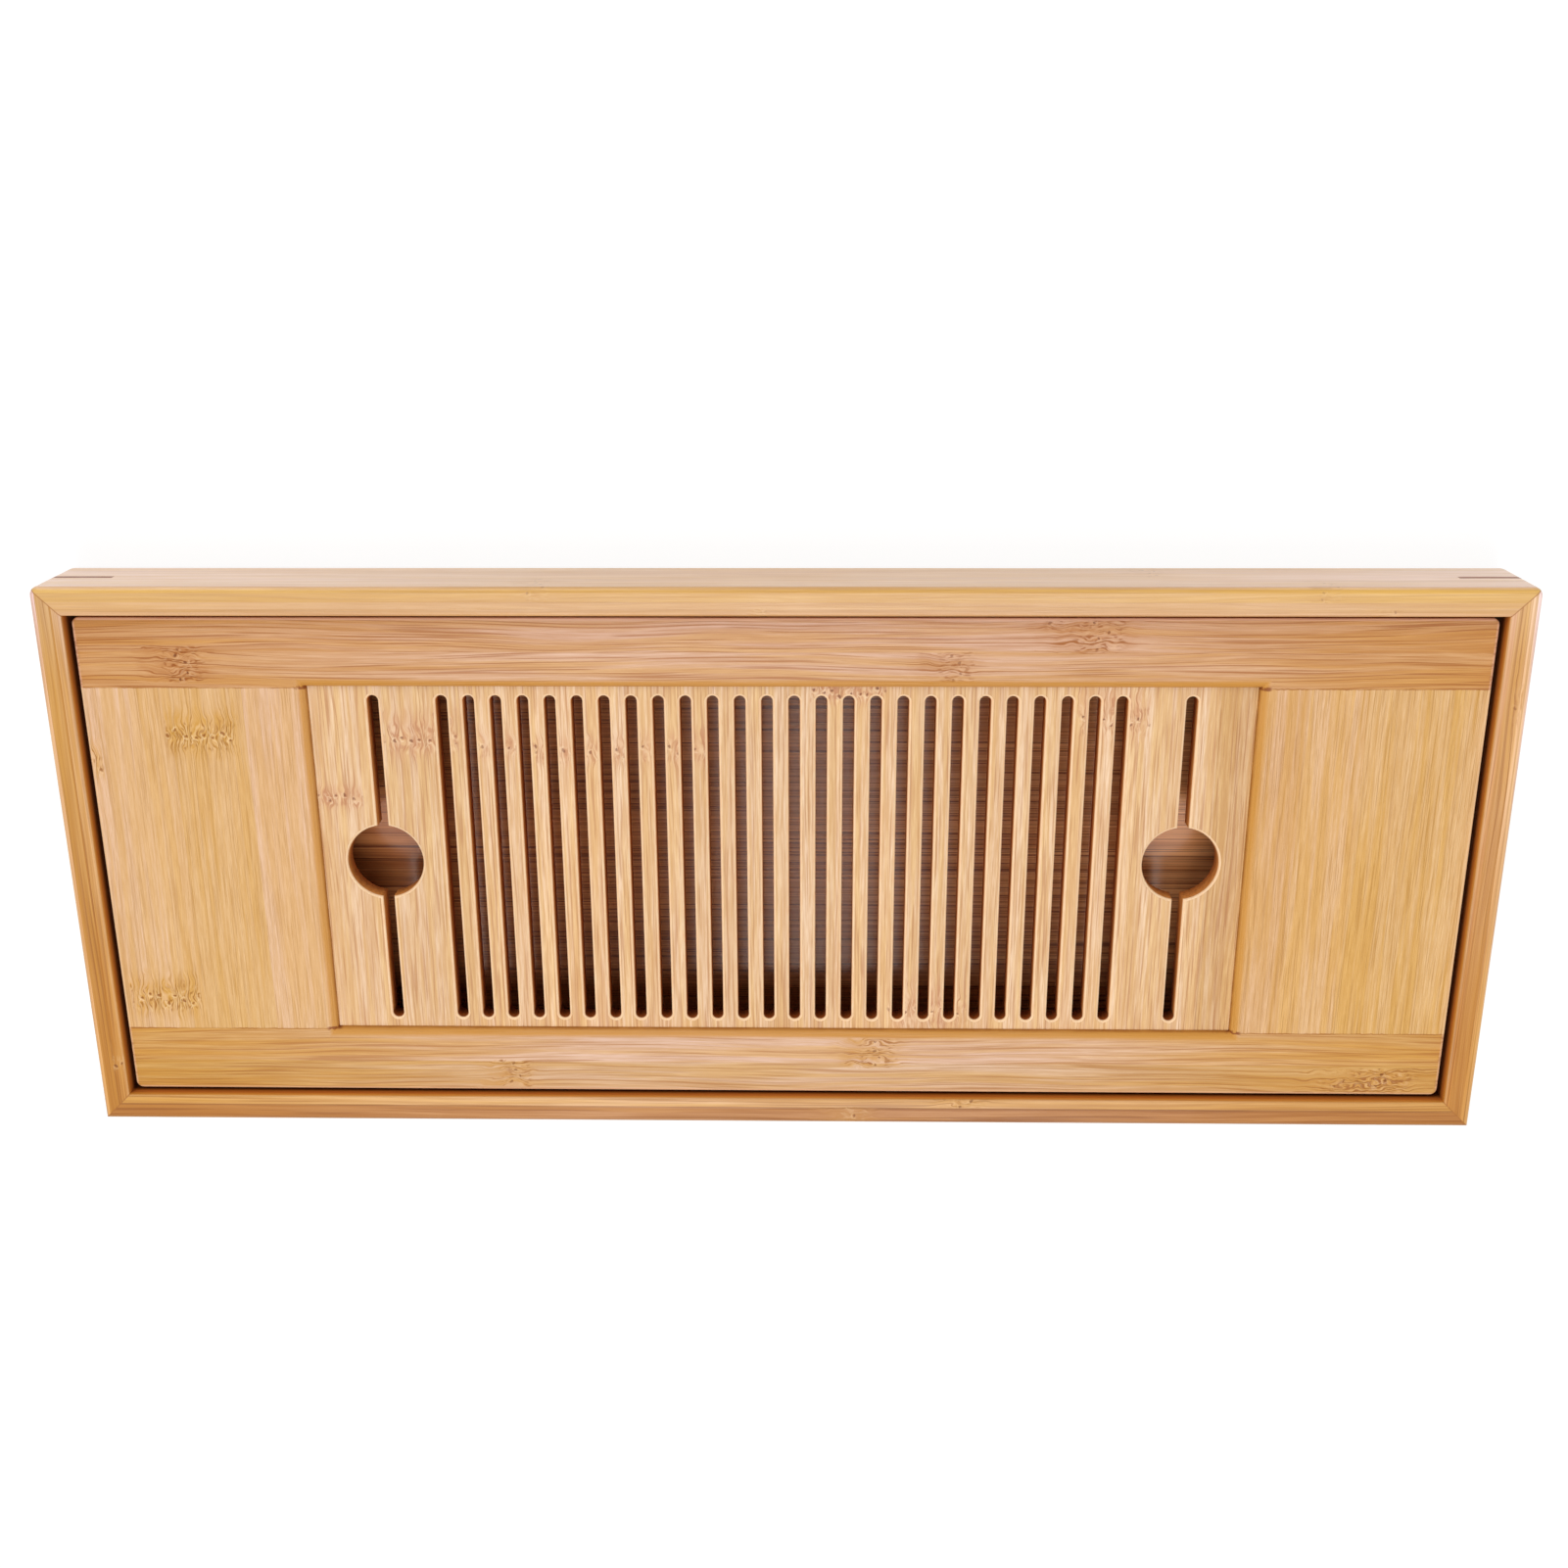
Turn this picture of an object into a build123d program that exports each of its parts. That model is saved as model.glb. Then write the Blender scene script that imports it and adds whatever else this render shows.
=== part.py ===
"""A long bamboo tea tray: a mitred box that holds the spilt water, and a slotted lid that lifts off it.

Lengths are in millimetres. The origin is on the table, under the middle of the tray.
+Z is up, X runs along the tray, and the front of the tray faces -Y.
"""
from build123d import *
from math import cos, radians, sin
import os

# Box rails, mitred at the corners
tray_length = 390.0
tray_width = 155.0
rail_height = 30.0
rail_thickness = 7.7
front_corner_radius = 2.4
rear_corner_radius = 0.8
rim_outer_radius = 1.5
rim_inner_radius = 0.8
lower_edge_radius = 5.0
foot_stand = 2.0

# Keys, thin slips let into saw cuts that go right through the mitres
key_thickness = 2.2
key_leg = 17.7
key_rise = 16.0

# Bottom board, held in a groove in the rails
bottom_thickness = 4.5
groove_lip = 2.5
groove_depth = 3.5
groove_end_gap = 0.3

# Ledges that carry the lid, and the bead that seals the foot of them
ledge_width = 5.0
ledge_easing = 0.6
bead_leg = 2.5

# Feet
foot_radius = 7.0
foot_rounding = 1.0
foot_inset = 16.0

# Lid frame
lid_gap = 0.9
lid_end_gap = 1.3
lid_drop = 3.0
lid_thickness = 8.0
lid_rail_width = 19.0
lid_corner_radius = 2.0
lid_arris_radius = 0.6

# Recess in the lid, with a roundover down to the slotted board that is cut as narrow flats
recess_depth = 2.2
roundover_run = 2.9
roundover_flats = 5

# Tongues of the lid boards, in the grooves of the lid rails
tongue_thickness = 2.4
tongue_length = 4.0
tongue_side_gap = 0.1
tongue_end_gap = 0.3

# Drain slots and finger openings
slot_count = 26
slot_pitch = 7.25
slot_width = 3.0
slot_end_margin = 2.7
slot_arris = 0.5
finger_hole_radius = 10.4
finger_spacing = 18.4
finger_end_margin = 17.0

# How far a cutting shape runs past the wood that it cuts
overrun = 2.0

# Sizes that follow from the ones above
cavity_length = tray_length - 2 * rail_thickness
cavity_width = tray_width - 2 * rail_thickness
rim_level = foot_stand + rail_height
groove_level = foot_stand + groove_lip
floor_level = groove_level + bottom_thickness
lid_top_level = rim_level - lid_drop
lid_base_level = lid_top_level - lid_thickness
key_level = foot_stand + key_rise
lid_length = cavity_length - 2 * lid_end_gap
lid_width = cavity_width - 2 * lid_gap
board_width = lid_width - 2 * lid_rail_width
board_thickness = lid_thickness - recess_depth
outer_slot_offset = (slot_count - 1) / 2 * slot_pitch
finger_offset = outer_slot_offset + finger_spacing
board_length = 2 * (finger_offset + finger_end_margin)
slot_length = board_width - 2 * slot_end_margin
tongue_level = lid_base_level + (board_thickness - tongue_thickness) / 2


def block(length, width, height, base, x=0, y=0):
    """A plain bar whose plan is centred on (x, y), standing on the level base."""
    return Pos(x, y, base + height / 2) * Box(length, width, height)


def prism(points, height, base):
    """An upright prism on a closed outline of plan points, standing on the level base."""
    return Pos(0, 0, base) * extrude(make_face(Polyline(*points, close=True)), amount=height)


def box_body():
    """The outside of the box as one solid: lower edge, round front corners, rim, then the sharper rear corners."""
    body = block(tray_length, tray_width, rail_height, foot_stand)
    body = fillet(body.faces().sort_by(Axis.Z)[0].edges(), lower_edge_radius)
    body = fillet(body.edges().filter_by(Axis.Z).sort_by(Axis.Y)[:2], front_corner_radius)
    body = fillet(body.faces().sort_by(Axis.Z)[-1].edges(), rim_outer_radius)
    for side in (-1, 1):
        body = body - corner_waste(side)
    return body


def corner_waste(side):
    """What is taken off one rear corner to round it: a bar, less the corner's upright cylinder."""
    centre_x = side * (tray_length / 2 - rear_corner_radius)
    centre_y = tray_width / 2 - rear_corner_radius
    reach = rear_corner_radius + overrun
    height = rail_height + 2 * overrun
    bar = block(reach, reach, height, foot_stand - overrun, centre_x + side * reach / 2, centre_y + reach / 2)
    return bar - Pos(centre_x, centre_y, foot_stand + rail_height / 2) * Cylinder(rear_corner_radius, height)


def cavity_block():
    """The inside of the box, from below the rails to above the rim."""
    return block(cavity_length, cavity_width, rail_height + 2 * overrun, foot_stand - overrun)


def rail_ring(body):
    """The four rails as one ring: the cavity, the groove for the bottom and the saw cuts are out of it."""
    ring = body - cavity_block()
    inner_rim = ring.faces().sort_by(Axis.Z)[-1].inner_wires()[0].edges()
    ring = fillet(inner_rim, rim_inner_radius)
    groove_length = cavity_length + 2 * groove_depth
    groove_width = cavity_width + 2 * groove_depth
    ring = ring - block(groove_length, groove_width, bottom_thickness, groove_level)
    for side_x, side_y in corner_signs():
        ring = ring - key_slip(side_x, side_y)
    return ring


def corner_signs():
    """The side in X and in Y of each corner: front left, front right, rear left, rear right."""
    return [(side_x, side_y) for side_y in (-1, 1) for side_x in (-1, 1)]


def corner_name(side_x, side_y):
    """The name of a corner, such as front_left."""
    return ("front_" if side_y < 0 else "rear_") + ("left" if side_x < 0 else "right")


def key_slip(side_x, side_y):
    """A flat three-cornered slip across one mitre, standing a little out of the box."""
    corner_x = tray_length / 2 + overrun
    corner_y = tray_width / 2 + overrun
    reach = key_leg + 2 * overrun
    points = [
        (side_x * corner_x, side_y * corner_y),
        (side_x * (corner_x - reach), side_y * corner_y),
        (side_x * corner_x, side_y * (corner_y - reach)),
    ]
    return prism(points, key_thickness, key_level)


def mitre_wedge(side, along_x):
    """The plan of one rail between its two mitres, from outside the box to inside the cavity."""
    out_x = tray_length / 2 + overrun
    out_y = tray_width / 2 + overrun
    run = rail_thickness + 2 * overrun
    if along_x:
        points = [
            (-out_x, side * out_y),
            (out_x, side * out_y),
            (out_x - run, side * (out_y - run)),
            (run - out_x, side * (out_y - run)),
        ]
    else:
        points = [
            (side * out_x, -out_y),
            (side * out_x, out_y),
            (side * (out_x - run), out_y - run),
            (side * (out_x - run), run - out_y),
        ]
    return prism(points, rail_height + 2 * overrun, foot_stand - overrun)


def bottom_board():
    """The board that closes the box, with its edges in the rails' groove."""
    reach = groove_depth - groove_end_gap
    length = cavity_length + 2 * reach
    width = cavity_width + 2 * reach
    return block(length, width, bottom_thickness, groove_level)


def ledge(length, along_x, side):
    """A strip glued to the inside of one rail, from the floor up to the lid, with its top edge eased."""
    height = lid_base_level - floor_level
    offset_x = 0 if along_x else side * (cavity_length - ledge_width) / 2
    offset_y = side * (cavity_width - ledge_width) / 2 if along_x else 0
    size = (length, ledge_width) if along_x else (ledge_width, length)
    strip = block(size[0], size[1], height, floor_level, offset_x, offset_y)
    across = Axis.Y if along_x else Axis.X
    inner = strip.faces().sort_by(across)[0 if side > 0 else -1]
    return chamfer(inner.edges().sort_by(Axis.Z)[-1], ledge_easing)


def seal_bead():
    """The bead that seals the foot of the ledges to the floor: a three-cornered strip all round."""
    outer_length = cavity_length - 2 * ledge_width
    outer_width = cavity_width - 2 * ledge_width
    bar = block(outer_length, outer_width, bead_leg, floor_level)
    low = Pos(0, 0, floor_level) * Rectangle(outer_length - 2 * bead_leg, outer_width - 2 * bead_leg)
    high = Pos(0, 0, floor_level + bead_leg) * Rectangle(outer_length, outer_width)
    return bar - loft([low, high])


def foot(side_x, side_y):
    """A round pad under one corner of the bottom board, rounded where it meets the table."""
    x = side_x * (cavity_length / 2 - foot_inset)
    y = side_y * (cavity_width / 2 - foot_inset)
    pad = Pos(x, y, groove_level / 2) * Cylinder(foot_radius, groove_level)
    return fillet(pad.edges().filter_by(GeomType.CIRCLE).sort_by(Axis.Z)[0], foot_rounding)


def recess_sections():
    """The outlines of the recess from the slotted board up to the lid's top: a quarter ellipse, in narrow flats."""
    sections = []
    for step in range(roundover_flats + 1):
        angle = radians(90 * step / roundover_flats)
        wide = 2 * roundover_run * (1 - cos(angle))
        level = lid_top_level - recess_depth * (1 - sin(angle))
        sections.append(Pos(0, 0, level) * Rectangle(board_length + wide, board_width + wide))
    return sections


def lid_ring():
    """The rails and end boards of the lid as one piece, round the recess."""
    ring = block(lid_length, lid_width, lid_thickness, lid_base_level)
    ring = fillet(ring.edges().filter_by(Axis.Z), lid_corner_radius)
    ring = fillet(ring.faces().sort_by(Axis.Z)[-1].edges(), lid_arris_radius)
    ring = chamfer(ring.faces().sort_by(Axis.Z)[0].edges(), lid_arris_radius)
    ring = ring - loft(recess_sections(), ruled=True)
    return ring - block(board_length, board_width, board_thickness + overrun, lid_base_level - overrun)


def tongue_bar(length, gap_side, gap_end, x=0):
    """The flat bar that a board's two tongues are cut from, less the given gaps."""
    width = board_width + 2 * (tongue_length - gap_end)
    return block(length, width, tongue_thickness - 2 * gap_side, tongue_level + gap_side, x)


def lid_rail(ring, side):
    """One long rail of the lid, grooved for the tongues of the boards."""
    y = side * (board_width + lid_rail_width) / 2
    zone = block(lid_length, lid_rail_width, lid_thickness, lid_base_level, 0, y)
    return (ring & zone) - tongue_bar(lid_length + 2 * overrun, 0, 0)


def lid_end_board(ring, side):
    """One end board of the lid, with a tongue at each end of its grain."""
    length = (lid_length - board_length) / 2
    x = side * (board_length + length) / 2
    body = block(length, board_width, lid_thickness, lid_base_level, x)
    body = body + tongue_bar(length, tongue_side_gap, tongue_end_gap, x)
    return ring & body


def slot_outline(x):
    """The plan of one drain slot, with round ends."""
    return Pos(x, 0) * Rot(0, 0, 90) * SlotOverall(slot_length, slot_width)


def slotted_board():
    """The sunk board of the lid: drain slots across it, and a finger hole on a slot near each end."""
    board = block(board_length, board_width, board_thickness, lid_base_level)
    board = board + tongue_bar(board_length, tongue_side_gap, tongue_end_gap)
    openings = [slot_outline(place * slot_pitch - outer_slot_offset) for place in range(slot_count)]
    for side in (-1, 1):
        hole = Pos(side * finger_offset, 0) * Circle(finger_hole_radius)
        openings.append(slot_outline(side * finger_offset) + hole)
    start = Pos(0, 0, lid_base_level - overrun)
    for opening in openings:
        board = board - start * extrude(opening, amount=board_thickness + 2 * overrun)
    top = board.faces().sort_by(Axis.Z)[-1]
    rims = [edge for wire in top.inner_wires() for edge in wire.edges()]
    return chamfer(rims, slot_arris)


def build():
    """Every piece of the tray, by the name of its file."""
    pieces = {}
    body = box_body()
    ring = rail_ring(body)
    for name, side, along_x in (("front", -1, True), ("rear", 1, True), ("left", -1, False), ("right", 1, False)):
        pieces[name + "_rail"] = ring & mitre_wedge(side, along_x)
        length = cavity_length if along_x else cavity_width - 2 * ledge_width
        pieces[name + "_ledge"] = ledge(length, along_x, side)
    for side_x, side_y in corner_signs():
        name = corner_name(side_x, side_y)
        pieces[name + "_key"] = (body & key_slip(side_x, side_y)) - cavity_block()
        pieces[name + "_foot"] = foot(side_x, side_y)
    pieces["bottom_board"] = bottom_board()
    pieces["seal_bead"] = seal_bead()
    frame = lid_ring()
    pieces["lid_front_rail"] = lid_rail(frame, -1)
    pieces["lid_rear_rail"] = lid_rail(frame, 1)
    pieces["lid_left_board"] = lid_end_board(frame, -1)
    pieces["lid_right_board"] = lid_end_board(frame, 1)
    pieces["slotted_board"] = slotted_board()
    return pieces


os.makedirs("parts", exist_ok=True)
for node, shape in build().items():
    export_step(shape, f"parts/{node}.step")
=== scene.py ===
"""Dresses the bamboo tea tray: the box that catches the water, and the slotted lid that lifts off it.

Lengths in the materials and in the slotted board's sizes are millimetres, and every object is in metres.
The origin is on the table, under the middle of the tray. +Z is up and the front of the tray faces -Y.
"""
import logging
import math
import random
from dataclasses import dataclass
from enum import Enum
from functools import partialmethod

import bmesh
import bpy
from mathutils import Matrix
from mathutils import Vector


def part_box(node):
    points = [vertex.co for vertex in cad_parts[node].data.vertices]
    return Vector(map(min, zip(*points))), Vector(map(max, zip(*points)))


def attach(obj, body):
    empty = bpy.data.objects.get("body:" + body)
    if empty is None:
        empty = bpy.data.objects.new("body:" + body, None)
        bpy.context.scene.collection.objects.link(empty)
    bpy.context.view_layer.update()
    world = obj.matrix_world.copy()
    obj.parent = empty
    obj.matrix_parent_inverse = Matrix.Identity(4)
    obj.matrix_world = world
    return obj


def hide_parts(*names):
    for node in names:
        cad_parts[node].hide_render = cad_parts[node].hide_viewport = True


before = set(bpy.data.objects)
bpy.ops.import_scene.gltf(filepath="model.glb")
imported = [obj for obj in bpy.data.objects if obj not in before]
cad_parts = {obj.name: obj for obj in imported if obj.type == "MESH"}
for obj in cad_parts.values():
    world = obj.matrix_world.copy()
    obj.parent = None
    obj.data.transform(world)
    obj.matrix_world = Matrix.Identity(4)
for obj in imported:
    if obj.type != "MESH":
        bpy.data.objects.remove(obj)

Colour = tuple[float, float, float]
Point = tuple[float, float, float]
Pair = tuple[float, float]
Socket = bpy.types.NodeSocket
Tree = bpy.types.NodeTree
Material = bpy.types.Material
Value = Socket | Material | float | int | bool | tuple | None
Inputs = dict[str | int, Value]

KINDS = {int: "Int", float: "Float", tuple: "Vector", Material: "Material"}
ORIGIN = (0.0, 0.0, 0.0)
# Half widths in millimetres, up to which a mark is full and from which it is gone.
SEAM = (0.05, 0.3)
MITRE_LINE = (0.08, 0.34)
NICK_LENGTH = (1.2, 2.4)
NICK_WIDTH = (0.3, 0.7)
# How far apart the grain of two strips is read, along the fibres and up.
STRIP_SHIFT = (173.0, 41.0)
# How far from each other the patterns of one strip are read, so that they don't coincide.
HUE_AWAY = (7.3, 1.9, 5.1)
LINES_AWAY = (31.7, 4.1, 9.2)
MM = 0.001
IN_MM = (1 / MM, 1 / MM, 1 / MM)
FAR = 999.0
BROWNED = (0.36, 0.13, 0.02)
BURR = (0.24, 0.06, 0.008)
SIENNA = (0.92, 0.58, 0.27)
WHITE = (1.0, 1.0, 1.0)
# The cavity's walls get darker below the rim: partly the darker lacquer inside the box, partly painted shade
# of the
# deep gap round the lid. For each band: the heights above the table at which it is full and at which it is
# gone, its share and its colour.
CAVITY_STAIN_AND_SHADE = (
    (31.0, 31.8, 0.9, (0.7, 0.29, 0.04)), (29.6, 31.2, 0.95, (0.5, 0.14, 0.02)),
    (27.0, 29.6, 1.0, (0.1, 0.022, 0.003)),
)
log = logging.getLogger("tea_tray")


class Grain(Enum):
    """Which way the fibres of a board run."""

    ALONG_X = "along the tray"
    ALONG_Y = "across the tray"


class Course(Enum):
    """Which way a slow change of colour runs over a piece."""

    TO_BOTH_ENDS = "to both ends"
    TO_THE_REAR = "to the rear"
    TO_THE_RIGHT = "to the right"


class Graph:
    """Adds nodes to one node tree and joins them up."""

    def __init__(self, tree: Tree) -> None:
        """Keeps the tree that the nodes go into."""
        self.tree = tree

    def node(self, kind: str, inputs: Inputs | None = None, **settings: object) -> bpy.types.Node:
        """Adds one node.

        Args:
            kind: The node's type name.
            inputs: What goes into its sockets, by name or number: another socket, or a value.
            settings: Properties of the node itself.

        Returns:
            The new node.
        """
        made = self.tree.nodes.new(kind)
        for name, value in settings.items():
            setattr(made, name, value)
        for name, value in (inputs or {}).items():
            self.put(made.inputs[name], value)
        return made

    def put(self, socket: Socket, value: Value) -> None:
        """Joins a socket to another one, or gives it a value.

        Args:
            socket: The input socket.
            value: A socket or a plain value. None leaves the socket as it is.
        """
        if isinstance(value, bpy.types.NodeSocket):
            self.tree.links.new(value, socket)
        elif isinstance(value, tuple) and socket.type == "RGBA" and len(value) == 3:
            socket.default_value = (*value, 1.0)
        elif value is not None:
            socket.default_value = value

    def maths(
        self, operation: str, a: Value, b: Value = None, c: Value = None, clamp: bool = False
    ) -> Socket:
        """Adds a Math node for up to three numbers, and gives the socket of its result."""
        inputs = {0: a, 1: b, 2: c}
        return self.node("ShaderNodeMath", inputs, operation=operation, use_clamp=clamp).outputs[0]

    # The commonest Math nodes.
    times = partialmethod(maths, "MULTIPLY")
    times_plus = partialmethod(maths, "MULTIPLY_ADD")
    over = partialmethod(maths, "DIVIDE")
    plus = partialmethod(maths, "ADD")
    minus = partialmethod(maths, "SUBTRACT")
    size = partialmethod(maths, "ABSOLUTE")
    larger = partialmethod(maths, "MAXIMUM")
    smaller = partialmethod(maths, "MINIMUM")

    def vector(self, operation: str, a: Value, b: Value = None) -> Socket:
        """Adds a Vector Math node, and gives the socket of its vector."""
        return self.node("ShaderNodeVectorMath", {0: a, 1: b}, operation=operation).outputs[0]

    scaled = partialmethod(vector, "MULTIPLY")

    def split(self, vector: Value) -> tuple[Socket, Socket, Socket]:
        """Gives the three parts of a vector."""
        parts = self.node("ShaderNodeSeparateXYZ", {0: vector}).outputs
        return parts[0], parts[1], parts[2]

    def join(self, x: Value, y: Value, z: Value) -> Socket:
        """Gives the vector with these three parts."""
        return self.node("ShaderNodeCombineXYZ", {0: x, 1: y, 2: z}).outputs[0]

    def step(self, value: Value, low: Value, high: Value, start: Value = 0.0, end: Value = 1.0) -> Socket:
        """Adds a smooth step between low and high, whose result runs from start to end."""
        inputs = {"Value": value, "From Min": low, "From Max": high, "To Min": start, "To Max": end}
        return self.node("ShaderNodeMapRange", inputs, interpolation_type="SMOOTHSTEP").outputs[0]

    def fade(self, value: Value, low: Value, high: Value) -> Socket:
        """Adds a smooth step from 1 down to 0."""
        return self.step(value, low, high, 1.0, 0.0)

    def spot(self) -> Socket:
        """Gives the place in the object, in metres."""
        return self.node("ShaderNodeTexCoord").outputs["Object"]

    def along(self, spot: Socket, grain: Grain) -> Socket:
        """Turns a place in the object so that its first part runs along the grain.

        Args:
            spot: The place, in metres.
            grain: Which way the fibres run.

        Returns:
            The socket of the turned place, in millimetres.
        """
        turn = 0.0 if grain is Grain.ALONG_X else math.pi / 2
        inputs = {"Vector": spot, "Rotation": (0.0, 0.0, turn), "Scale": IN_MM}
        return self.node("ShaderNodeMapping", inputs).outputs[0]

    def noise(self, vector: Value, detail: float = 2.0, rough: float = 0.5) -> Socket:
        """Adds a noise of about 0.5, read at a place that is given in lengths of one wave."""
        inputs = {"Vector": vector, "Scale": 1.0, "Detail": detail, "Roughness": rough}
        return self.node("ShaderNodeTexNoise", inputs, noise_dimensions="3D").outputs[0]

    def mix(self, amount: Value, a: Value, b: Value, mode: str = "MIX") -> Socket:
        """Mixes two colours. The amount is the share of the second one."""
        settings = {"data_type": "RGBA", "blend_type": mode, "clamp_factor": True}
        return self.node("ShaderNodeMix", {0: amount, 6: a, 7: b}, **settings).outputs[2]

    def tint(self, colour: Value, mask: Value, share: Value, towards: Value) -> Socket:
        """Mixes a colour towards another one by a share of a mask, and gives the socket of the result."""
        return self.mix(self.times(mask, share), colour, towards)

    def group(self, tree: Tree, inputs: dict[str, Value]) -> bpy.types.NodeOutputs:
        """Places a node group.

        Args:
            tree: The group's tree.
            inputs: What goes into its sockets, by name.

        Returns:
            The outputs of the placed group.
        """
        made = self.node("ShaderNodeGroup", None, node_tree=tree)
        for name, value in inputs.items():
            self.put(made.inputs[name], value)
        return made.outputs


def new_input(tree: Tree, name: str, start: Value) -> bpy.types.NodeTreeInterfaceSocket:
    """Adds a named input to a node group.

    Args:
        tree: The group's tree.
        name: The input's name.
        start: The value that it starts with, whose type gives the kind of socket.

    Returns:
        The group's new socket.
    """
    kind = "NodeSocket" + KINDS[type(start)]
    made = tree.interface.new_socket(name=name, in_out="INPUT", socket_type=kind)
    made.default_value = start
    return made


def new_group(name: str, inputs: dict[str, Value], outputs: tuple[str, ...]) -> tuple[Graph, Socket, Socket]:
    """Starts a shader node group with named sockets.

    Args:
        name: The group's name.
        inputs: The value that each input starts with.
        outputs: The outputs' names. Each is a number.

    Returns:
        The group's graph, its input node's outputs and its output node's inputs.
    """
    tree = bpy.data.node_groups.new(name, "ShaderNodeTree")
    for label, start in inputs.items():
        new_input(tree, label, start)
    for label in outputs:
        tree.interface.new_socket(name=label, in_out="OUTPUT", socket_type="NodeSocketFloat")
    graph = Graph(tree)
    return graph, graph.node("NodeGroupInput").outputs, graph.node("NodeGroupOutput").inputs


def clean_graph(owner: Material | bpy.types.World) -> Graph:
    """Empties the node tree of a material or of the world.

    Args:
        owner: The material or the world.

    Returns:
        The graph of its tree.
    """
    owner.use_nodes = True
    owner.node_tree.nodes.clear()
    return Graph(owner.node_tree)


def square(graph: Graph, value: Value) -> Socket:
    """Gives a number times itself."""
    return graph.times(value, value)


class Effects:
    """The effects that the finishes share, each a shader node group that is built once."""

    def __init__(self) -> None:
        """Builds every group."""
        self.fibres = self._fibres()
        self.knot = self._knot()
        self.knot_marks = self._knot_marks()
        self.edge = self._edge()
        self.handling = self._handling()

    def _fibres(self) -> Tree:
        """Builds the grain: soft bands, a drift in hue, streaks, crisp dark lines and fine fibres.

        Returns:
            The group, whose outputs run from 0 to 1.
        """
        graph, given, out = new_group(
            "bamboo_fibres",
            {
                "Vector": ORIGIN, "Shift": 0.0, "Bend": 0.0, "Streak Length": 34.0, "Streak Width": 0.9,
                "Wander": 0.8,
            },
            ("Bands", "Hue", "Streaks", "Lines", "Fine"),
        )
        x, y, z = graph.split(given["Vector"])
        along = graph.times_plus(given["Shift"], STRIP_SHIFT[0], x)
        deep = graph.times_plus(given["Shift"], STRIP_SHIFT[1], z)
        slow = graph.scaled(graph.join(along, y, deep), (0.013, 0.06, 0.06))
        drift = graph.minus(graph.noise(slow, 1.0), 0.5)
        drift = graph.times_plus(drift, graph.times(given["Wander"], 4.0), given["Bend"])
        place = graph.join(along, graph.plus(y, drift), deep)
        band = graph.noise(graph.scaled(place, (0.006, 0.22, 0.22)), 2.0, 0.55)
        graph.put(out["Bands"], graph.step(band, 0.36, 0.64))
        hue = graph.vector("ADD", graph.scaled(place, (0.012, 0.4, 0.4)), HUE_AWAY)
        graph.put(out["Hue"], graph.step(graph.noise(hue, 2.5, 0.6), 0.4, 0.62))
        width = given["Streak Width"]
        fibre = graph.vector("DIVIDE", place, graph.join(given["Streak Length"], width, width))
        graph.put(out["Streaks"], graph.step(graph.noise(fibre, 2.0, 0.55), 0.4, 0.64))
        line = graph.vector("ADD", graph.scaled(fibre, (0.7, 1.35, 1.35)), LINES_AWAY)
        graph.put(out["Lines"], graph.step(graph.noise(line, 1.0, 0.4), 0.55, 0.67))
        fine = graph.scaled(fibre, (3.2, 3.0, 3.0))
        graph.put(out["Fine"], graph.step(graph.noise(fine, 2.0, 0.6), 0.38, 0.64))
        return graph.tree

    def _knot(self) -> Tree:
        """Builds the patch of one knot, which is joined to the patches of the knots before it.

        Returns:
            The group. Core is where the crossed fibres show, Haze is the darker wood round them, and Along
            is how far the place is from the knot's middle, along the grain.
        """
        graph, given, out = new_group(
            "bamboo_knot",
            {
                "Vector": ORIGIN, "Place": ORIGIN, "Reach": (4.0, 9.0, 9.0), "Strength": 1.0, "Ragged": 0.5,
                "Core": 0.0, "Haze": 0.0, "Along": FAR,
            },
            ("Core", "Haze", "Along"),
        )
        away = graph.vector("SUBTRACT", given["Vector"], given["Place"])
        offset = graph.split(away)[0]
        along, across, deep = graph.split(graph.vector("DIVIDE", away, given["Reach"]))
        side = graph.larger(graph.size(across), graph.size(deep))
        ragged = graph.times_plus(given["Ragged"], 1.2, -0.6)
        inside = graph.fade(graph.times_plus(ragged, 0.5, side), 0.8, 1.08)
        core = graph.plus(graph.size(along), ragged)
        core = graph.times(graph.fade(core, 0.75, 1.2), inside)
        core = graph.times(core, given["Strength"])
        graph.put(out["Core"], graph.larger(core, given["Core"]))
        spread = graph.plus(graph.times(along, 0.36), graph.times(ragged, 0.7))
        haze = graph.size(graph.minus(spread, 0.14))
        haze = graph.times(graph.fade(haze, 0.12, 0.95), inside)
        haze = graph.times(haze, given["Strength"])
        graph.put(out["Haze"], graph.larger(haze, given["Haze"]))
        nearer = graph.size(given["Along"])
        nearer = graph.maths("LESS_THAN", graph.size(offset), nearer)
        nearer = graph.times(nearer, graph.maths("LESS_THAN", side, 1.15))
        gain = graph.minus(offset, given["Along"])
        graph.put(out["Along"], graph.times_plus(gain, nearer, given["Along"]))
        return graph.tree

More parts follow.
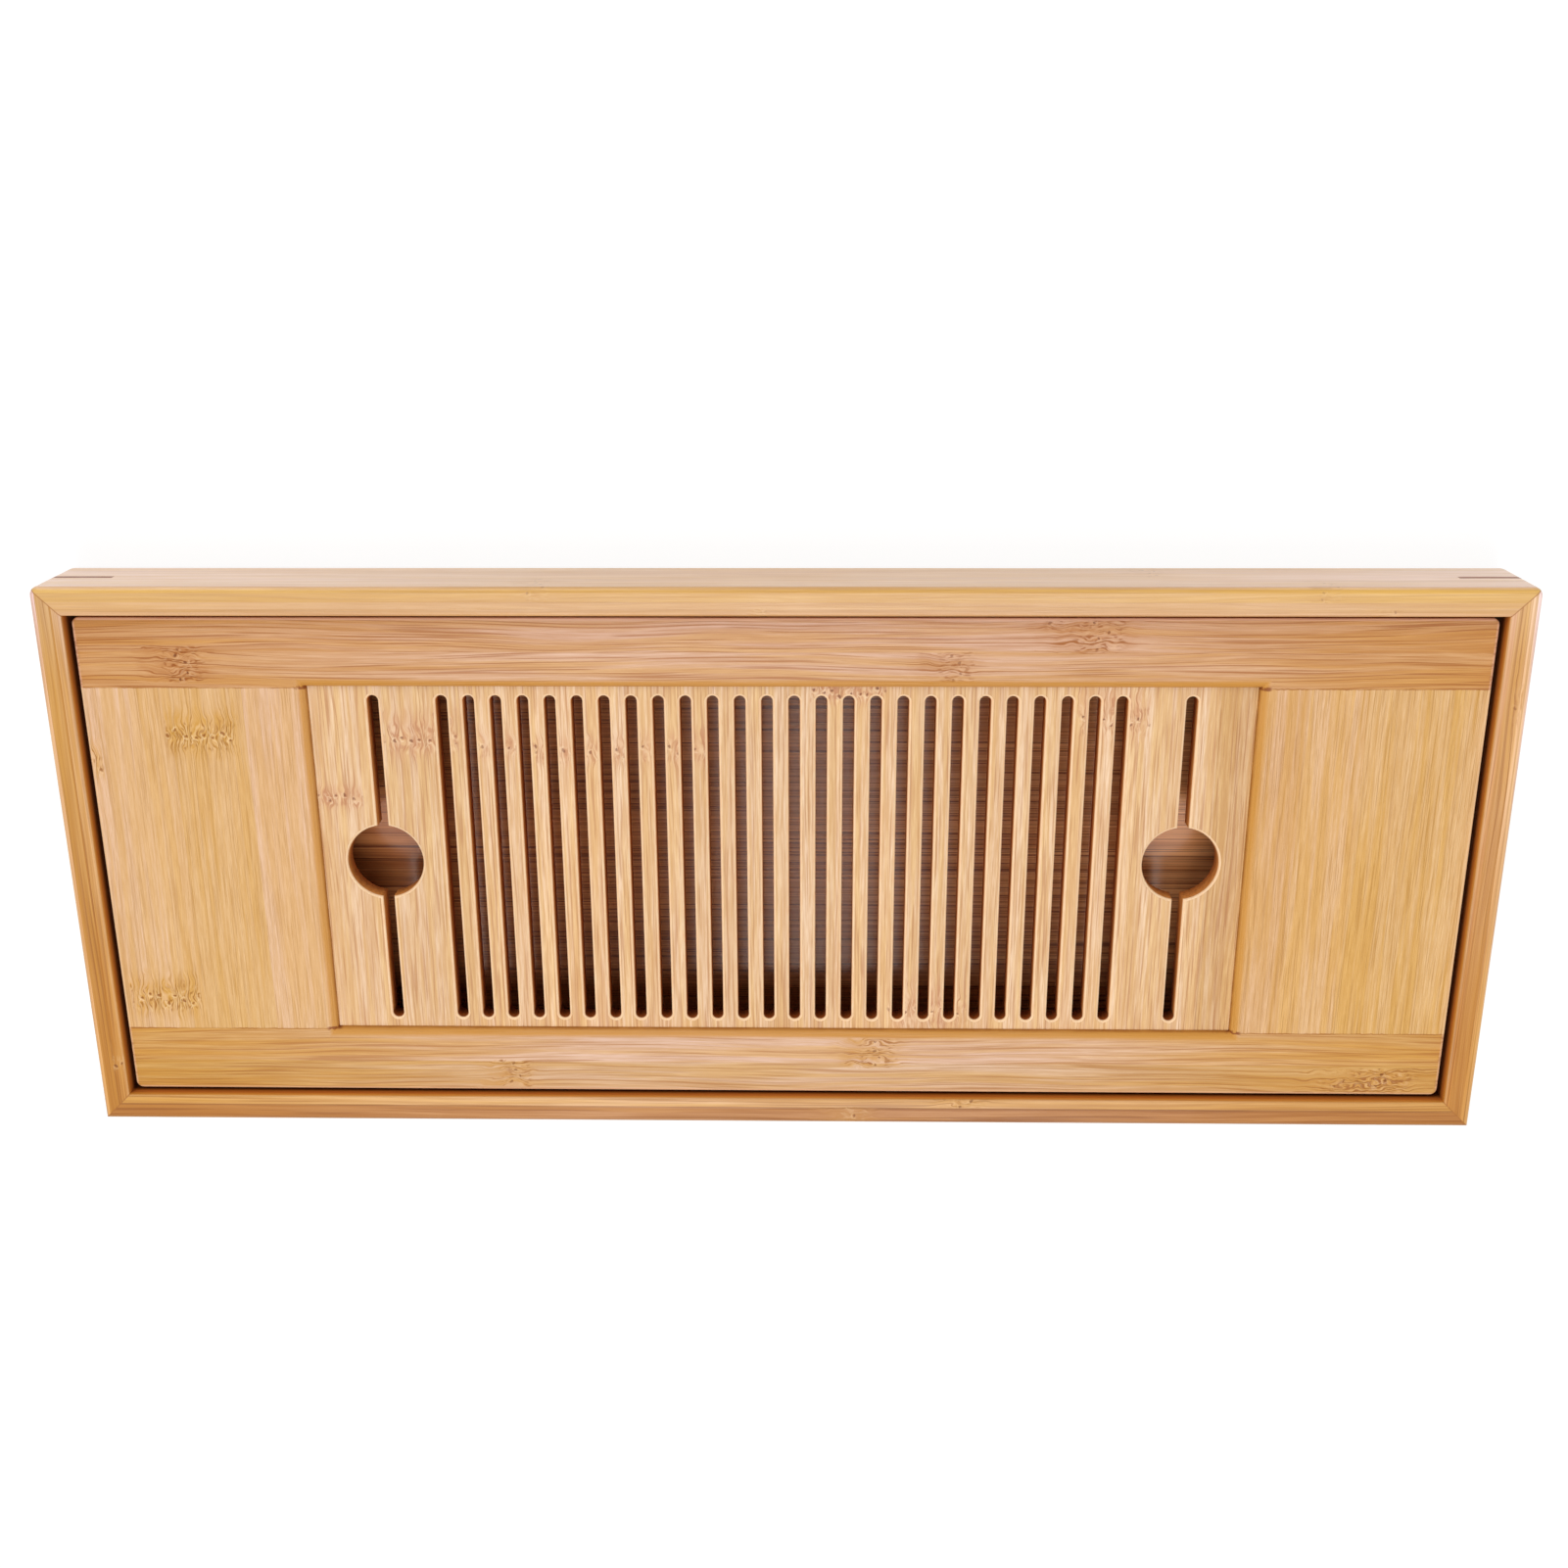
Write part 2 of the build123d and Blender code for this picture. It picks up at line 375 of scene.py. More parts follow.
    def _knot_marks(self) -> Tree:
        """Builds what shows in a knot: in each lane of fibres a pit, and light strokes that close round it.

        Returns:
            The group. Bend is how far the grain is pushed aside, in millimetres.
        """
        graph, given, out = new_group(
            "bamboo_knot_marks",
            {
                "Vector": ORIGIN, "Core": 0.0, "Haze": 0.0, "Along": FAR, "Lane": 2.4, "Stroke": 3.0,
                "Wild": 1.0, "Flecks": 0.6,
            },
            ("Bend", "Strokes", "Shades", "Pits"),
        )
        _, y, z = graph.split(given["Vector"])
        swirl = graph.noise(graph.scaled(given["Vector"], (0.16, 0.34, 0.34)), 1.0)
        swirl = graph.times(graph.minus(swirl, 0.5), given["Wild"])
        bend = graph.times(graph.times(swirl, 5.0), given["Haze"])
        graph.put(out["Bend"], bend)
        bent = graph.vector("ADD", given["Vector"], graph.join(0.0, bend, 0.0))
        fleck = graph.noise(graph.scaled(bent, (0.42, 2.1, 2.1)), 1.0)
        light = graph.times(graph.step(fleck, 0.53, 0.64), given["Flecks"])
        dark = graph.fade(fleck, 0.36, 0.46)
        graph.put(out["Shades"], graph.times(dark, given["Core"]))
        warp = graph.noise(graph.scaled(given["Vector"], (0.5, 0.6, 0.6)), 1.0)
        warp = graph.times(graph.minus(warp, 0.5), given["Wild"])
        lane = graph.over(graph.plus(y, z), given["Lane"])
        number = graph.maths("FLOOR", lane)
        chance = graph.node("ShaderNodeTexWhiteNoise", {"W": number}, noise_dimensions="1D").outputs["Color"]
        first, second, third = graph.split(chance)
        aside = graph.minus(graph.minus(lane, number), 0.5)
        aside = graph.times_plus(graph.minus(first, 0.5), 0.4, aside)
        aside = graph.times(aside, given["Lane"])
        aside = graph.times_plus(warp, 1.2, aside)
        away = graph.times_plus(graph.minus(second, 0.5), given["Stroke"], given["Along"])
        away = graph.times_plus(warp, 1.8, away)
        turn = graph.times_plus(graph.maths("GREATER_THAN", third, 0.25), -2.0, 1.0)
        away = graph.times(away, turn)
        reach = graph.maths("SQRT", graph.plus(square(graph, aside), square(graph, away)))
        rim = graph.size(graph.minus(reach, 0.85))
        rim = graph.fade(rim, 0.06, 0.3)
        rim = graph.times(rim, graph.step(graph.plus(aside, away), -0.2, 0.6))
        ahead = graph.larger(away, 0.0)
        slope = graph.times_plus(first, 0.5, 0.1)
        tail = graph.minus(aside, graph.times_plus(ahead, slope, 0.3))
        tail = graph.fade(graph.size(tail), 0.06, 0.28)
        last = graph.times(given["Stroke"], graph.plus(second, 0.2))
        tail = graph.times(tail, graph.fade(ahead, graph.times(last, 0.4), last))
        tail = graph.times(tail, graph.step(away, 0.1, 0.5))
        strokes = graph.larger(light, graph.larger(rim, tail))
        graph.put(out["Strokes"], graph.times(strokes, given["Core"]))
        pit = graph.fade(reach, 0.26, 0.5)
        graph.put(out["Pits"], graph.times(pit, given["Core"]))
        return graph.tree

    def _edge(self) -> Tree:
        """Builds the mask of a square piece's edges, where the two nearest faces meet.

        Returns:
            The group. Edge is 1 on an edge, and Ends is 1 on the sawn ends.
        """
        graph, given, out = new_group(
            "worn_and_lit_edge",
            {"Vector": ORIGIN, "Centre": ORIGIN, "Half Size": (10.0, 10.0, 10.0), "Width": 0.7},
            ("Edge", "Ends"),
        )
        away = graph.vector("ABSOLUTE", graph.vector("SUBTRACT", given["Vector"], given["Centre"]))
        a, b, c = graph.split(graph.vector("SUBTRACT", given["Half Size"], away))
        second = graph.smaller(graph.larger(a, b), graph.larger(b, c))
        second = graph.smaller(second, graph.larger(a, c))
        patchy = graph.noise(graph.scaled(given["Vector"], (0.11, 0.5, 0.5)), 2.0)
        width = graph.times(given["Width"], graph.plus(patchy, 0.55))
        graph.put(out["Edge"], graph.fade(second, 0.0, width))
        graph.put(out["Ends"], graph.fade(a, 0.15, 0.5))
        return graph.tree

    def _handling(self) -> Tree:
        """Builds the faint unevenness that handling and rinsing leave in the sheen.

        Returns:
            The group, whose output runs from 0 to 1.
        """
        graph, given, out = new_group("handling", {"Vector": ORIGIN}, ("Dull",))
        broad = graph.noise(graph.scaled(given["Vector"], (0.02, 0.045, 0.045)), 3.0, 0.6)
        graph.put(out["Dull"], graph.step(broad, 0.35, 0.7))
        return graph.tree


@dataclass(frozen=True)
class Knot:
    """One knot, where the fibres of a strip cross. The place is in the tray's frame, in millimetres."""

    x: float
    y: float
    z: float
    along: float
    across: float
    deep: float = 12.0
    strength: float = 1.0


@dataclass(frozen=True)
class Drift:
    """A slow change of colour over a piece: a tint that grows between two places, in millimetres."""

    course: Course
    start: float
    stop: float
    tint: Colour


@dataclass(frozen=True)
class Strip:
    """One glued strip of a board: how wide it is, and how it differs in colour."""

    width: float
    tint: Colour


def strips_between(low: float, high: float, width: float, spread: float, seed: int) -> tuple[Strip, ...]:
    """Divides a board into strips of about the same width, each with a slightly different colour.

    Args:
        low: Where the first strip starts.
        high: Where the last strip ends.
        width: The usual width of a strip.
        spread: How far the colours differ, as a share.
        seed: The seed of the differences.

    Returns:
        The strips in order.
    """
    draw = random.Random(seed)
    count = max(1, round((high - low) / width))
    made = []
    for _ in range(count):
        tone = 1 + draw.uniform(-spread, spread)
        warmth = draw.uniform(-spread, spread) * 0.5
        made.append(Strip((high - low) / count, (tone, tone * (1 - warmth * 0.4), tone * (1 - warmth))))
    return tuple(made)


@dataclass(frozen=True)
class Recess:
    """The rounded edge of the lid's recess, in millimetres."""

    half_length: float = 126.025
    half_width: float = 49.9
    run: float = 2.9


@dataclass(frozen=True)
class BambooFinish:
    """Oiled bamboo: soft bands, fibre streaks, dark lines, glued strips, knots and lighter arrises."""

    name: str
    grain: Grain
    pale: Colour
    gold: Colour
    deep: Colour
    line: Colour
    hue_share: float = 0.7
    band_share: float = 0.3
    streak_share: float = 0.5
    line_share: float = 0.5
    fine_share: float = 0.25
    streak_length: float = 34.0
    streak_width: float = 0.9
    wander: float = 0.8
    drifts: tuple[Drift, ...] = ()
    strip_start: float = 0.0
    strips: tuple[Strip, ...] = ()
    knots: tuple[Knot, ...] = ()
    lane: float = 2.4
    stroke: float = 4.4
    wild: float = 1.0
    flecks: float = 0.6
    knot_tint: Colour = (0.56, 0.27, 0.06)
    shade_tint: Colour = (0.46, 0.2, 0.04)
    pit_tint: Colour = (0.18, 0.05, 0.008)
    pit_share: float = 0.85
    stroke_tint: Colour = (0.92, 0.66, 0.36)
    stroke_share: float = 0.75
    knot_share: float = 0.5
    shade_share: float = 0.6
    edge_tint: Colour = (0.88, 0.62, 0.36)
    edge_share: float = 0.4
    end_tint: Colour = (0.5, 0.27, 0.12)
    end_share: float = 0.5
    roughness: Pair = (0.36, 0.5)
    coat: float = 0.15
    coat_roughness: float = 0.28
    shine: float = 0.5
    bump: float = 0.00005
    shift: float = 0.0
    recess: Recess | None = None
    recess_tint: Colour = (0.585, 0.265, 0.043)
    mitre: Pair | None = None
    cavity: Pair | None = None
    sides: Pair | None = None

    def _turned(self, point: Point) -> Point:
        """Gives a place in the frame as (along the grain, across it, up)."""
        return point if self.grain is Grain.ALONG_X else (-point[1], point[0], point[2])

    def material(self, effects: Effects, piece: str, low: Vector, high: Vector) -> Material:
        """Makes the material for one piece.

        Args:
            effects: The shared shader groups.
            piece: The piece's name.
            low: The lowest corner of the piece, in metres.
            high: The highest corner of the piece, in metres.

        Returns:
            The material.
        """
        made = bpy.data.materials.new(f"{piece}_{self.name}")
        graph = clean_graph(made)
        spot = graph.spot()
        grain = graph.along(spot, self.grain)
        core, haze, offset = self._knots(graph, effects, grain)
        marks = graph.group(
            effects.knot_marks,
            {
                "Vector": grain, "Core": core, "Haze": haze, "Along": offset, "Lane": self.lane,
                "Stroke": self.stroke, "Wild": self.wild, "Flecks": self.flecks,
            },
        )
        tint, shift = self._strips(graph, grain)
        fibres = graph.group(
            effects.fibres,
            {
                "Vector": grain, "Shift": shift, "Bend": marks["Bend"], "Streak Length": self.streak_length,
                "Streak Width": self.streak_width, "Wander": self.wander,
            },
        )
        colour: Value = self.pale
        for mask, share, layer in (
            ("Hue", self.hue_share, self.gold), ("Bands", self.band_share, self.deep),
            ("Streaks", self.streak_share, self.deep), ("Fine", self.fine_share, self.deep),
            ("Lines", self.line_share, self.line),
        ):
            colour = graph.tint(colour, fibres[mask], share, layer)
        if tint is not None:
            colour = graph.mix(1.0, colour, tint, "MULTIPLY")
        for drift in self.drifts:
            colour = graph.mix(self._reached(graph, spot, drift), colour, drift.tint, "MULTIPLY")
        if self.knots:
            dark = graph.times(haze, graph.times_plus(fibres["Streaks"], 0.6, 0.4))
            for mask, share, layer in (
                (dark, self.knot_share, self.knot_tint),
                (marks["Shades"], self.shade_share, self.shade_tint),
                (graph.times(haze, fibres["Lines"]), self.knot_share, self.shade_tint),
                (marks["Strokes"], self.stroke_share, self.stroke_tint),
                (marks["Pits"], self.pit_share, self.pit_tint),
            ):
                colour = graph.tint(colour, mask, share, layer)
        middle = (low + high) / 2 / MM
        half = (high - low) / 2 / MM
        half = half if self.grain is Grain.ALONG_X else Vector((half.y, half.x, half.z))
        edges = graph.group(
            effects.edge, {"Vector": grain, "Centre": self._turned(tuple(middle)), "Half Size": tuple(half)}
        )
        # Lighter arrises: partly wear, partly a painted highlight on the rounded edges.
        colour = graph.tint(colour, edges["Edge"], self.edge_share, self.edge_tint)
        colour = graph.tint(colour, edges["Ends"], self.end_share, self.end_tint)
        colour = self._joints(graph, spot, colour)
        dull = graph.group(effects.handling, {"Vector": grain})["Dull"]
        rough = graph.times_plus(fibres["Streaks"], 0.3, graph.times(dull, 0.7))
        rough = graph.step(rough, 0.0, 1.0, *self.roughness)
        height = graph.times_plus(fibres["Fine"], -0.4, graph.times(fibres["Lines"], -0.7))
        for mask, share in (("Strokes", 0.5), ("Shades", -0.5), ("Pits", -0.8)):
            height = graph.times_plus(marks[mask], share, height)
        bump = graph.node("ShaderNodeBump", {"Height": height, "Distance": self.bump, "Strength": 1.0})
        finish_with(graph, colour, rough, bump.outputs[0], self.shine, self.coat, self.coat_roughness)
        return made

    def _knots(self, graph: Graph, effects: Effects, grain: Socket) -> tuple[Value, Value, Value]:
        """Adds every knot of the piece.

        Args:
            graph: The material's graph.
            effects: The shared shader groups.
            grain: The place, with its first part along the grain.

        Returns:
            The masks of the knots' cores and of the haze round them, and how far along the nearest knot is.
        """
        core: Value = 0.0
        haze: Value = 0.0
        offset: Value = FAR
        ragged = graph.noise(graph.scaled(grain, (0.22, 0.6, 0.6)), 2.0) if self.knots else None
        for knot in self.knots:
            given = {
                "Vector": grain, "Place": self._turned((knot.x, knot.y, knot.z)),
                "Reach": (knot.along, knot.across, knot.deep), "Strength": knot.strength, "Ragged": ragged,
                "Core": core, "Haze": haze, "Along": offset,
            }
            patch = graph.group(effects.knot, given)
            core, haze, offset = patch["Core"], patch["Haze"], patch["Along"]
        return core, haze, offset

    def _reached(self, graph: Graph, spot: Socket, drift: Drift) -> Socket:
        """Adds how far a slow change of colour has come.

        Args:
            graph: The material's graph.
            spot: The place in the object, in metres.
            drift: The change.

        Returns:
            The socket of its share, from 0 to 1.
        """
        x, y, _ = graph.split(spot)
        places = {Course.TO_BOTH_ENDS: graph.size(x), Course.TO_THE_REAR: y, Course.TO_THE_RIGHT: x}
        return graph.step(places[drift.course], drift.start * MM, drift.stop * MM)

    def _strips(self, graph: Graph, grain: Socket) -> tuple[Value, Value]:
        """Adds the glued strips.

        Args:
            graph: The material's graph.
            grain: The place, with its first part along the grain.

        Returns:
            The strip's tint, or None where the piece is one strip, and the shift of its grain.
        """
        if not self.strips:
            return None, self.shift
        draw = random.Random(self.name)
        total = sum(strip.width for strip in self.strips)
        across = graph.split(grain)[1]
        across = graph.over(graph.minus(across, self.strip_start), total)
        ramp = graph.node("ShaderNodeValToRGB", {0: across})
        ramp.color_ramp.interpolation = "CONSTANT"
        stops = ramp.color_ramp.elements
        reached = 0.0
        for place, strip in enumerate(self.strips):
            stop = stops[place] if place < 2 else stops.new(reached / total)
            stop.position = reached / total
            stop.color = (*strip.tint, draw.uniform(0.05, 0.95))
            reached += strip.width
        return ramp.outputs[0], graph.plus(ramp.outputs[1], self.shift)

    def _joints(self, graph: Graph, spot: Socket, colour: Socket) -> Socket:
        """Adds what joints and edges look like: the recess, the seams, the mitres and the sides, darkened
        partly by painted shade.

        Args:
            graph: The material's graph.
            spot: The place in the object, in metres.
            colour: The colour so far.

        Returns:
            The colour with them.
        """
        if not (self.recess or self.mitre or self.cavity or self.sides):
            return colour
        x, y, z = graph.split(graph.vector("ABSOLUTE", graph.scaled(spot, IN_MM)))
        if self.recess is not None:
            torn = graph.noise(graph.scaled(spot, (800.0, 800.0, 800.0)), 2.0)
            broad = graph.noise(graph.scaled(spot, (150.0, 150.0, 150.0)), 2.0)
            fray = graph.times_plus(torn, 0.5, -0.25)
            past = graph.plus(graph.minus(y, self.recess.half_width), fray)
            out = graph.minus(x, self.recess.half_length)
            out = graph.larger(out, graph.minus(past, graph.times(fray, 0.6)))
            # Painted shade: the bevel is tinted darker and more golden, for the sheen that the flat faces
            # catch and the bevel doesn't.
            flank = graph.fade(out, 0.45 * self.recess.run, 0.95 * self.recess.run)
            colour = graph.tint(colour, flank, 0.85, self.recess_tint)
            seam = graph.fade(graph.size(past), *SEAM)
            seam = graph.times(seam, graph.step(broad, 0.35, 0.6, 0.3, 0.85))
            foot = graph.times(graph.fade(out, 0.1, 0.5), graph.step(broad, 0.35, 0.6, 0.45, 0.8))
            colour = graph.mix(graph.larger(foot, seam), colour, BROWNED)
            nick_x = graph.size(graph.minus(x, self.recess.half_length + 1.0))
            nick = graph.times(graph.fade(nick_x, *NICK_LENGTH), graph.step(torn, 0.4, 0.5, 0.0, 0.9))
            nick = graph.times(graph.fade(graph.size(past), *NICK_WIDTH), nick)
            colour = graph.mix(nick, colour, BURR)
        if self.mitre is not None:
            from_end = graph.minus(self.mitre[0], x)
            from_side = graph.minus(self.mitre[1], y)
            gap = graph.size(graph.minus(from_end, from_side))
            line = graph.fade(gap, *MITRE_LINE)
            colour = graph.tint(colour, line, 0.75, BROWNED)
        if self.cavity is not None:
            into = graph.minus(x, self.cavity[0])
            into = graph.larger(into, graph.minus(y, self.cavity[1]))
            wall = graph.fade(into, 0.2, 0.6)
            # The cavity's walls: darker lacquer and painted shade, deeper below the rim.
            for full, none, share, tint in CAVITY_STAIN_AND_SHADE:
                colour = graph.tint(colour, wall, graph.step(z, full, none, share, 0.0), tint)
        if self.sides is not None:
            into = graph.minus(self.sides[0], x)
            into = graph.smaller(into, graph.minus(self.sides[1], y))
            # Painted shade in part: the lid's sides are darker below its top, partly a darker side and
            # partly the shade of the gap round the lid.
            side = graph.times(graph.fade(into, 0.05, 0.3), graph.step(z, 27.8, 28.7, 0.9, 0.0))
            colour = graph.mix(side, colour, SIENNA, "MULTIPLY")
            # Lighter along the top of the lid's sides: partly a worn arris, partly a painted highlight.
            worn_and_lit = graph.times(graph.step(into, 0.45, 0.9, 0.7, 0.0), graph.step(z, 28.4, 28.8))
            colour = graph.mix(worn_and_lit, colour, self.edge_tint)
            if self.grain is Grain.ALONG_X:
                nicks = graph.noise(graph.scaled(spot, (300.0, 1100.0, 1100.0)), 1.0)
                nicks = graph.step(nicks, 0.5, 0.6, 0.0, 0.35)
                end = graph.fade(graph.minus(self.sides[0], x), 0.5, 1.3)
                colour = graph.tint(colour, end, nicks, BURR)
        return colour


def finish_with(
    graph: Graph, colour: Value, rough: Value, normal: Value, shine: float,
    coat: float = 0.0, film: float = 0.28,
) -> None:
    """Adds the surface shader and the material's output.

    Args:
        graph: The material's graph.
        colour: The base colour.
        rough: The roughness.
        normal: The normal, or None.
        shine: How strongly the surface itself reflects.
        coat: How much clear oil lies on the surface.
        film: The roughness of that oil.
    """
    inputs = {
        "Base Color": colour, "Roughness": rough, "Normal": normal, "IOR": 1.5, "Specular IOR Level": shine,
        "Coat Weight": coat, "Coat Roughness": film,
    }
    shader = graph.node("ShaderNodeBsdfPrincipled", inputs)
    graph.node("ShaderNodeOutputMaterial", {"Surface": shader.outputs[0]})


@dataclass(frozen=True)
class CutFinish:
    """The sawn walls of the slots and finger holes, browned by the cutter, with a pale rounded arris.

    The arris is partly pale fresh-cut wood and partly a painted highlight. The rear end walls of the slots
    carry painted shade.
    """

    name: str = "cut_bamboo"
    wall: Colour = (0.84, 0.34, 0.08)
    scorch: Colour = (0.56, 0.19, 0.035)
    arris: Colour = (0.96, 0.7, 0.44)
    rear_end_shade: Colour = (0.42, 0.26, 0.16)
    top: float = 26.8
    arris_depth: float = 0.75

    def material(self, effects: Effects) -> Material:
        """Makes the material.

        Args:
            effects: The shared shader groups.

        Returns:
            The material.
        """
        made = bpy.data.materials.new(self.name)
        graph = clean_graph(made)
        spot = graph.spot()
        grain = graph.along(spot, Grain.ALONG_Y)
        fibres = graph.group(effects.fibres, {"Vector": grain, "Streak Length": 12.0, "Streak Width": 0.7})
        colour = graph.tint(self.wall, fibres["Streaks"], 0.7, self.scorch)
        _, across, height = graph.split(spot)
        height = graph.over(height, MM)
        # Painted shade on the rear end walls of the slots.
        colour = graph.mix(graph.step(across, 0.0445, 0.0462), colour, self.rear_end_shade, "MULTIPLY")
        # The arris is lighter: partly pale fresh-cut wood, partly a painted highlight.
        rim = graph.step(height, self.top - self.arris_depth, self.top - self.arris_depth * 0.6)
        colour = graph.mix(rim, colour, graph.tint(self.arris, fibres["Fine"], 0.3, self.wall))
        rough = graph.step(rim, 0.0, 1.0, 0.65, 0.4)
        finish_with(graph, colour, rough, None, 0.25)
        return made


@dataclass(frozen=True)
class BeadFinish:
    """Brown sealant, glossy where it was smoothed with a wet finger."""

    name: str = "brown_sealant"
    body: Colour = (0.2, 0.11, 0.055)
    thin: Colour = (0.3, 0.18, 0.09)

    def material(self) -> Material:
        """Makes the material."""
        made = bpy.data.materials.new(self.name)
        graph = clean_graph(made)
        spot = graph.spot()
        wave = graph.noise(graph.scaled(spot, (140.0, 140.0, 300.0)), 2.0)
        colour = graph.mix(graph.step(wave, 0.35, 0.65), self.body, self.thin)
        bump = graph.node("ShaderNodeBump", {"Height": wave, "Distance": 0.00012, "Strength": 1.0})
        finish_with(graph, colour, graph.step(wave, 0.3, 0.7, 0.34, 0.46), bump.outputs[0], 0.3)
        return made


@dataclass(frozen=True)
class RubberFinish:
    """Soft black rubber with a fine matt skin and a little dust."""

    name: str = "black_rubber"
    body: Colour = (0.032, 0.031, 0.03)
    dust: Colour = (0.1, 0.095, 0.088)

    def material(self) -> Material:
        """Makes the material."""
        made = bpy.data.materials.new(self.name)
        graph = clean_graph(made)
        spot = graph.spot()
        speck = graph.noise(graph.scaled(spot, (900.0, 900.0, 900.0)), 3.0, 0.7)
        broad = graph.noise(graph.scaled(spot, (160.0, 160.0, 160.0)), 2.0)
        colour = graph.tint(self.body, graph.step(broad, 0.4, 0.7), 0.5, self.dust)
        bump = graph.node("ShaderNodeBump", {"Height": speck, "Distance": 0.0001, "Strength": 1.0})
        finish_with(graph, colour, graph.step(speck, 0.3, 0.7, 0.62, 0.8), bump.outputs[0], 0.5)
        return made


def wear(node: str, finish: BambooFinish, effects: Effects) -> None:
    """Gives a CAD node its bamboo."""
    low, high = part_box(node)
    paint(node, finish.material(effects, node, low, high))


def paint(node: str, material: Material) -> None:
    """Puts one material on every slot of a CAD node.

    Args:
        node: The node's name.
        material: The material.
    """
    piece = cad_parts[node]
    for slot in piece.material_slots:
        slot.material = material
    if not piece.material_slots:
        piece.data.materials.append(material)
    log.info("%s: %s", node, material.name)


def new_object(name: str, data: bpy.types.ID) -> bpy.types.Object:
    """Adds an object to the scene.

    Args:
        name: The object's name.
        data: Its mesh, lamp or camera.

    Returns:
        The object.
    """
    made = bpy.data.objects.new(name, data)
    bpy.context.scene.collection.objects.link(made)
    return made


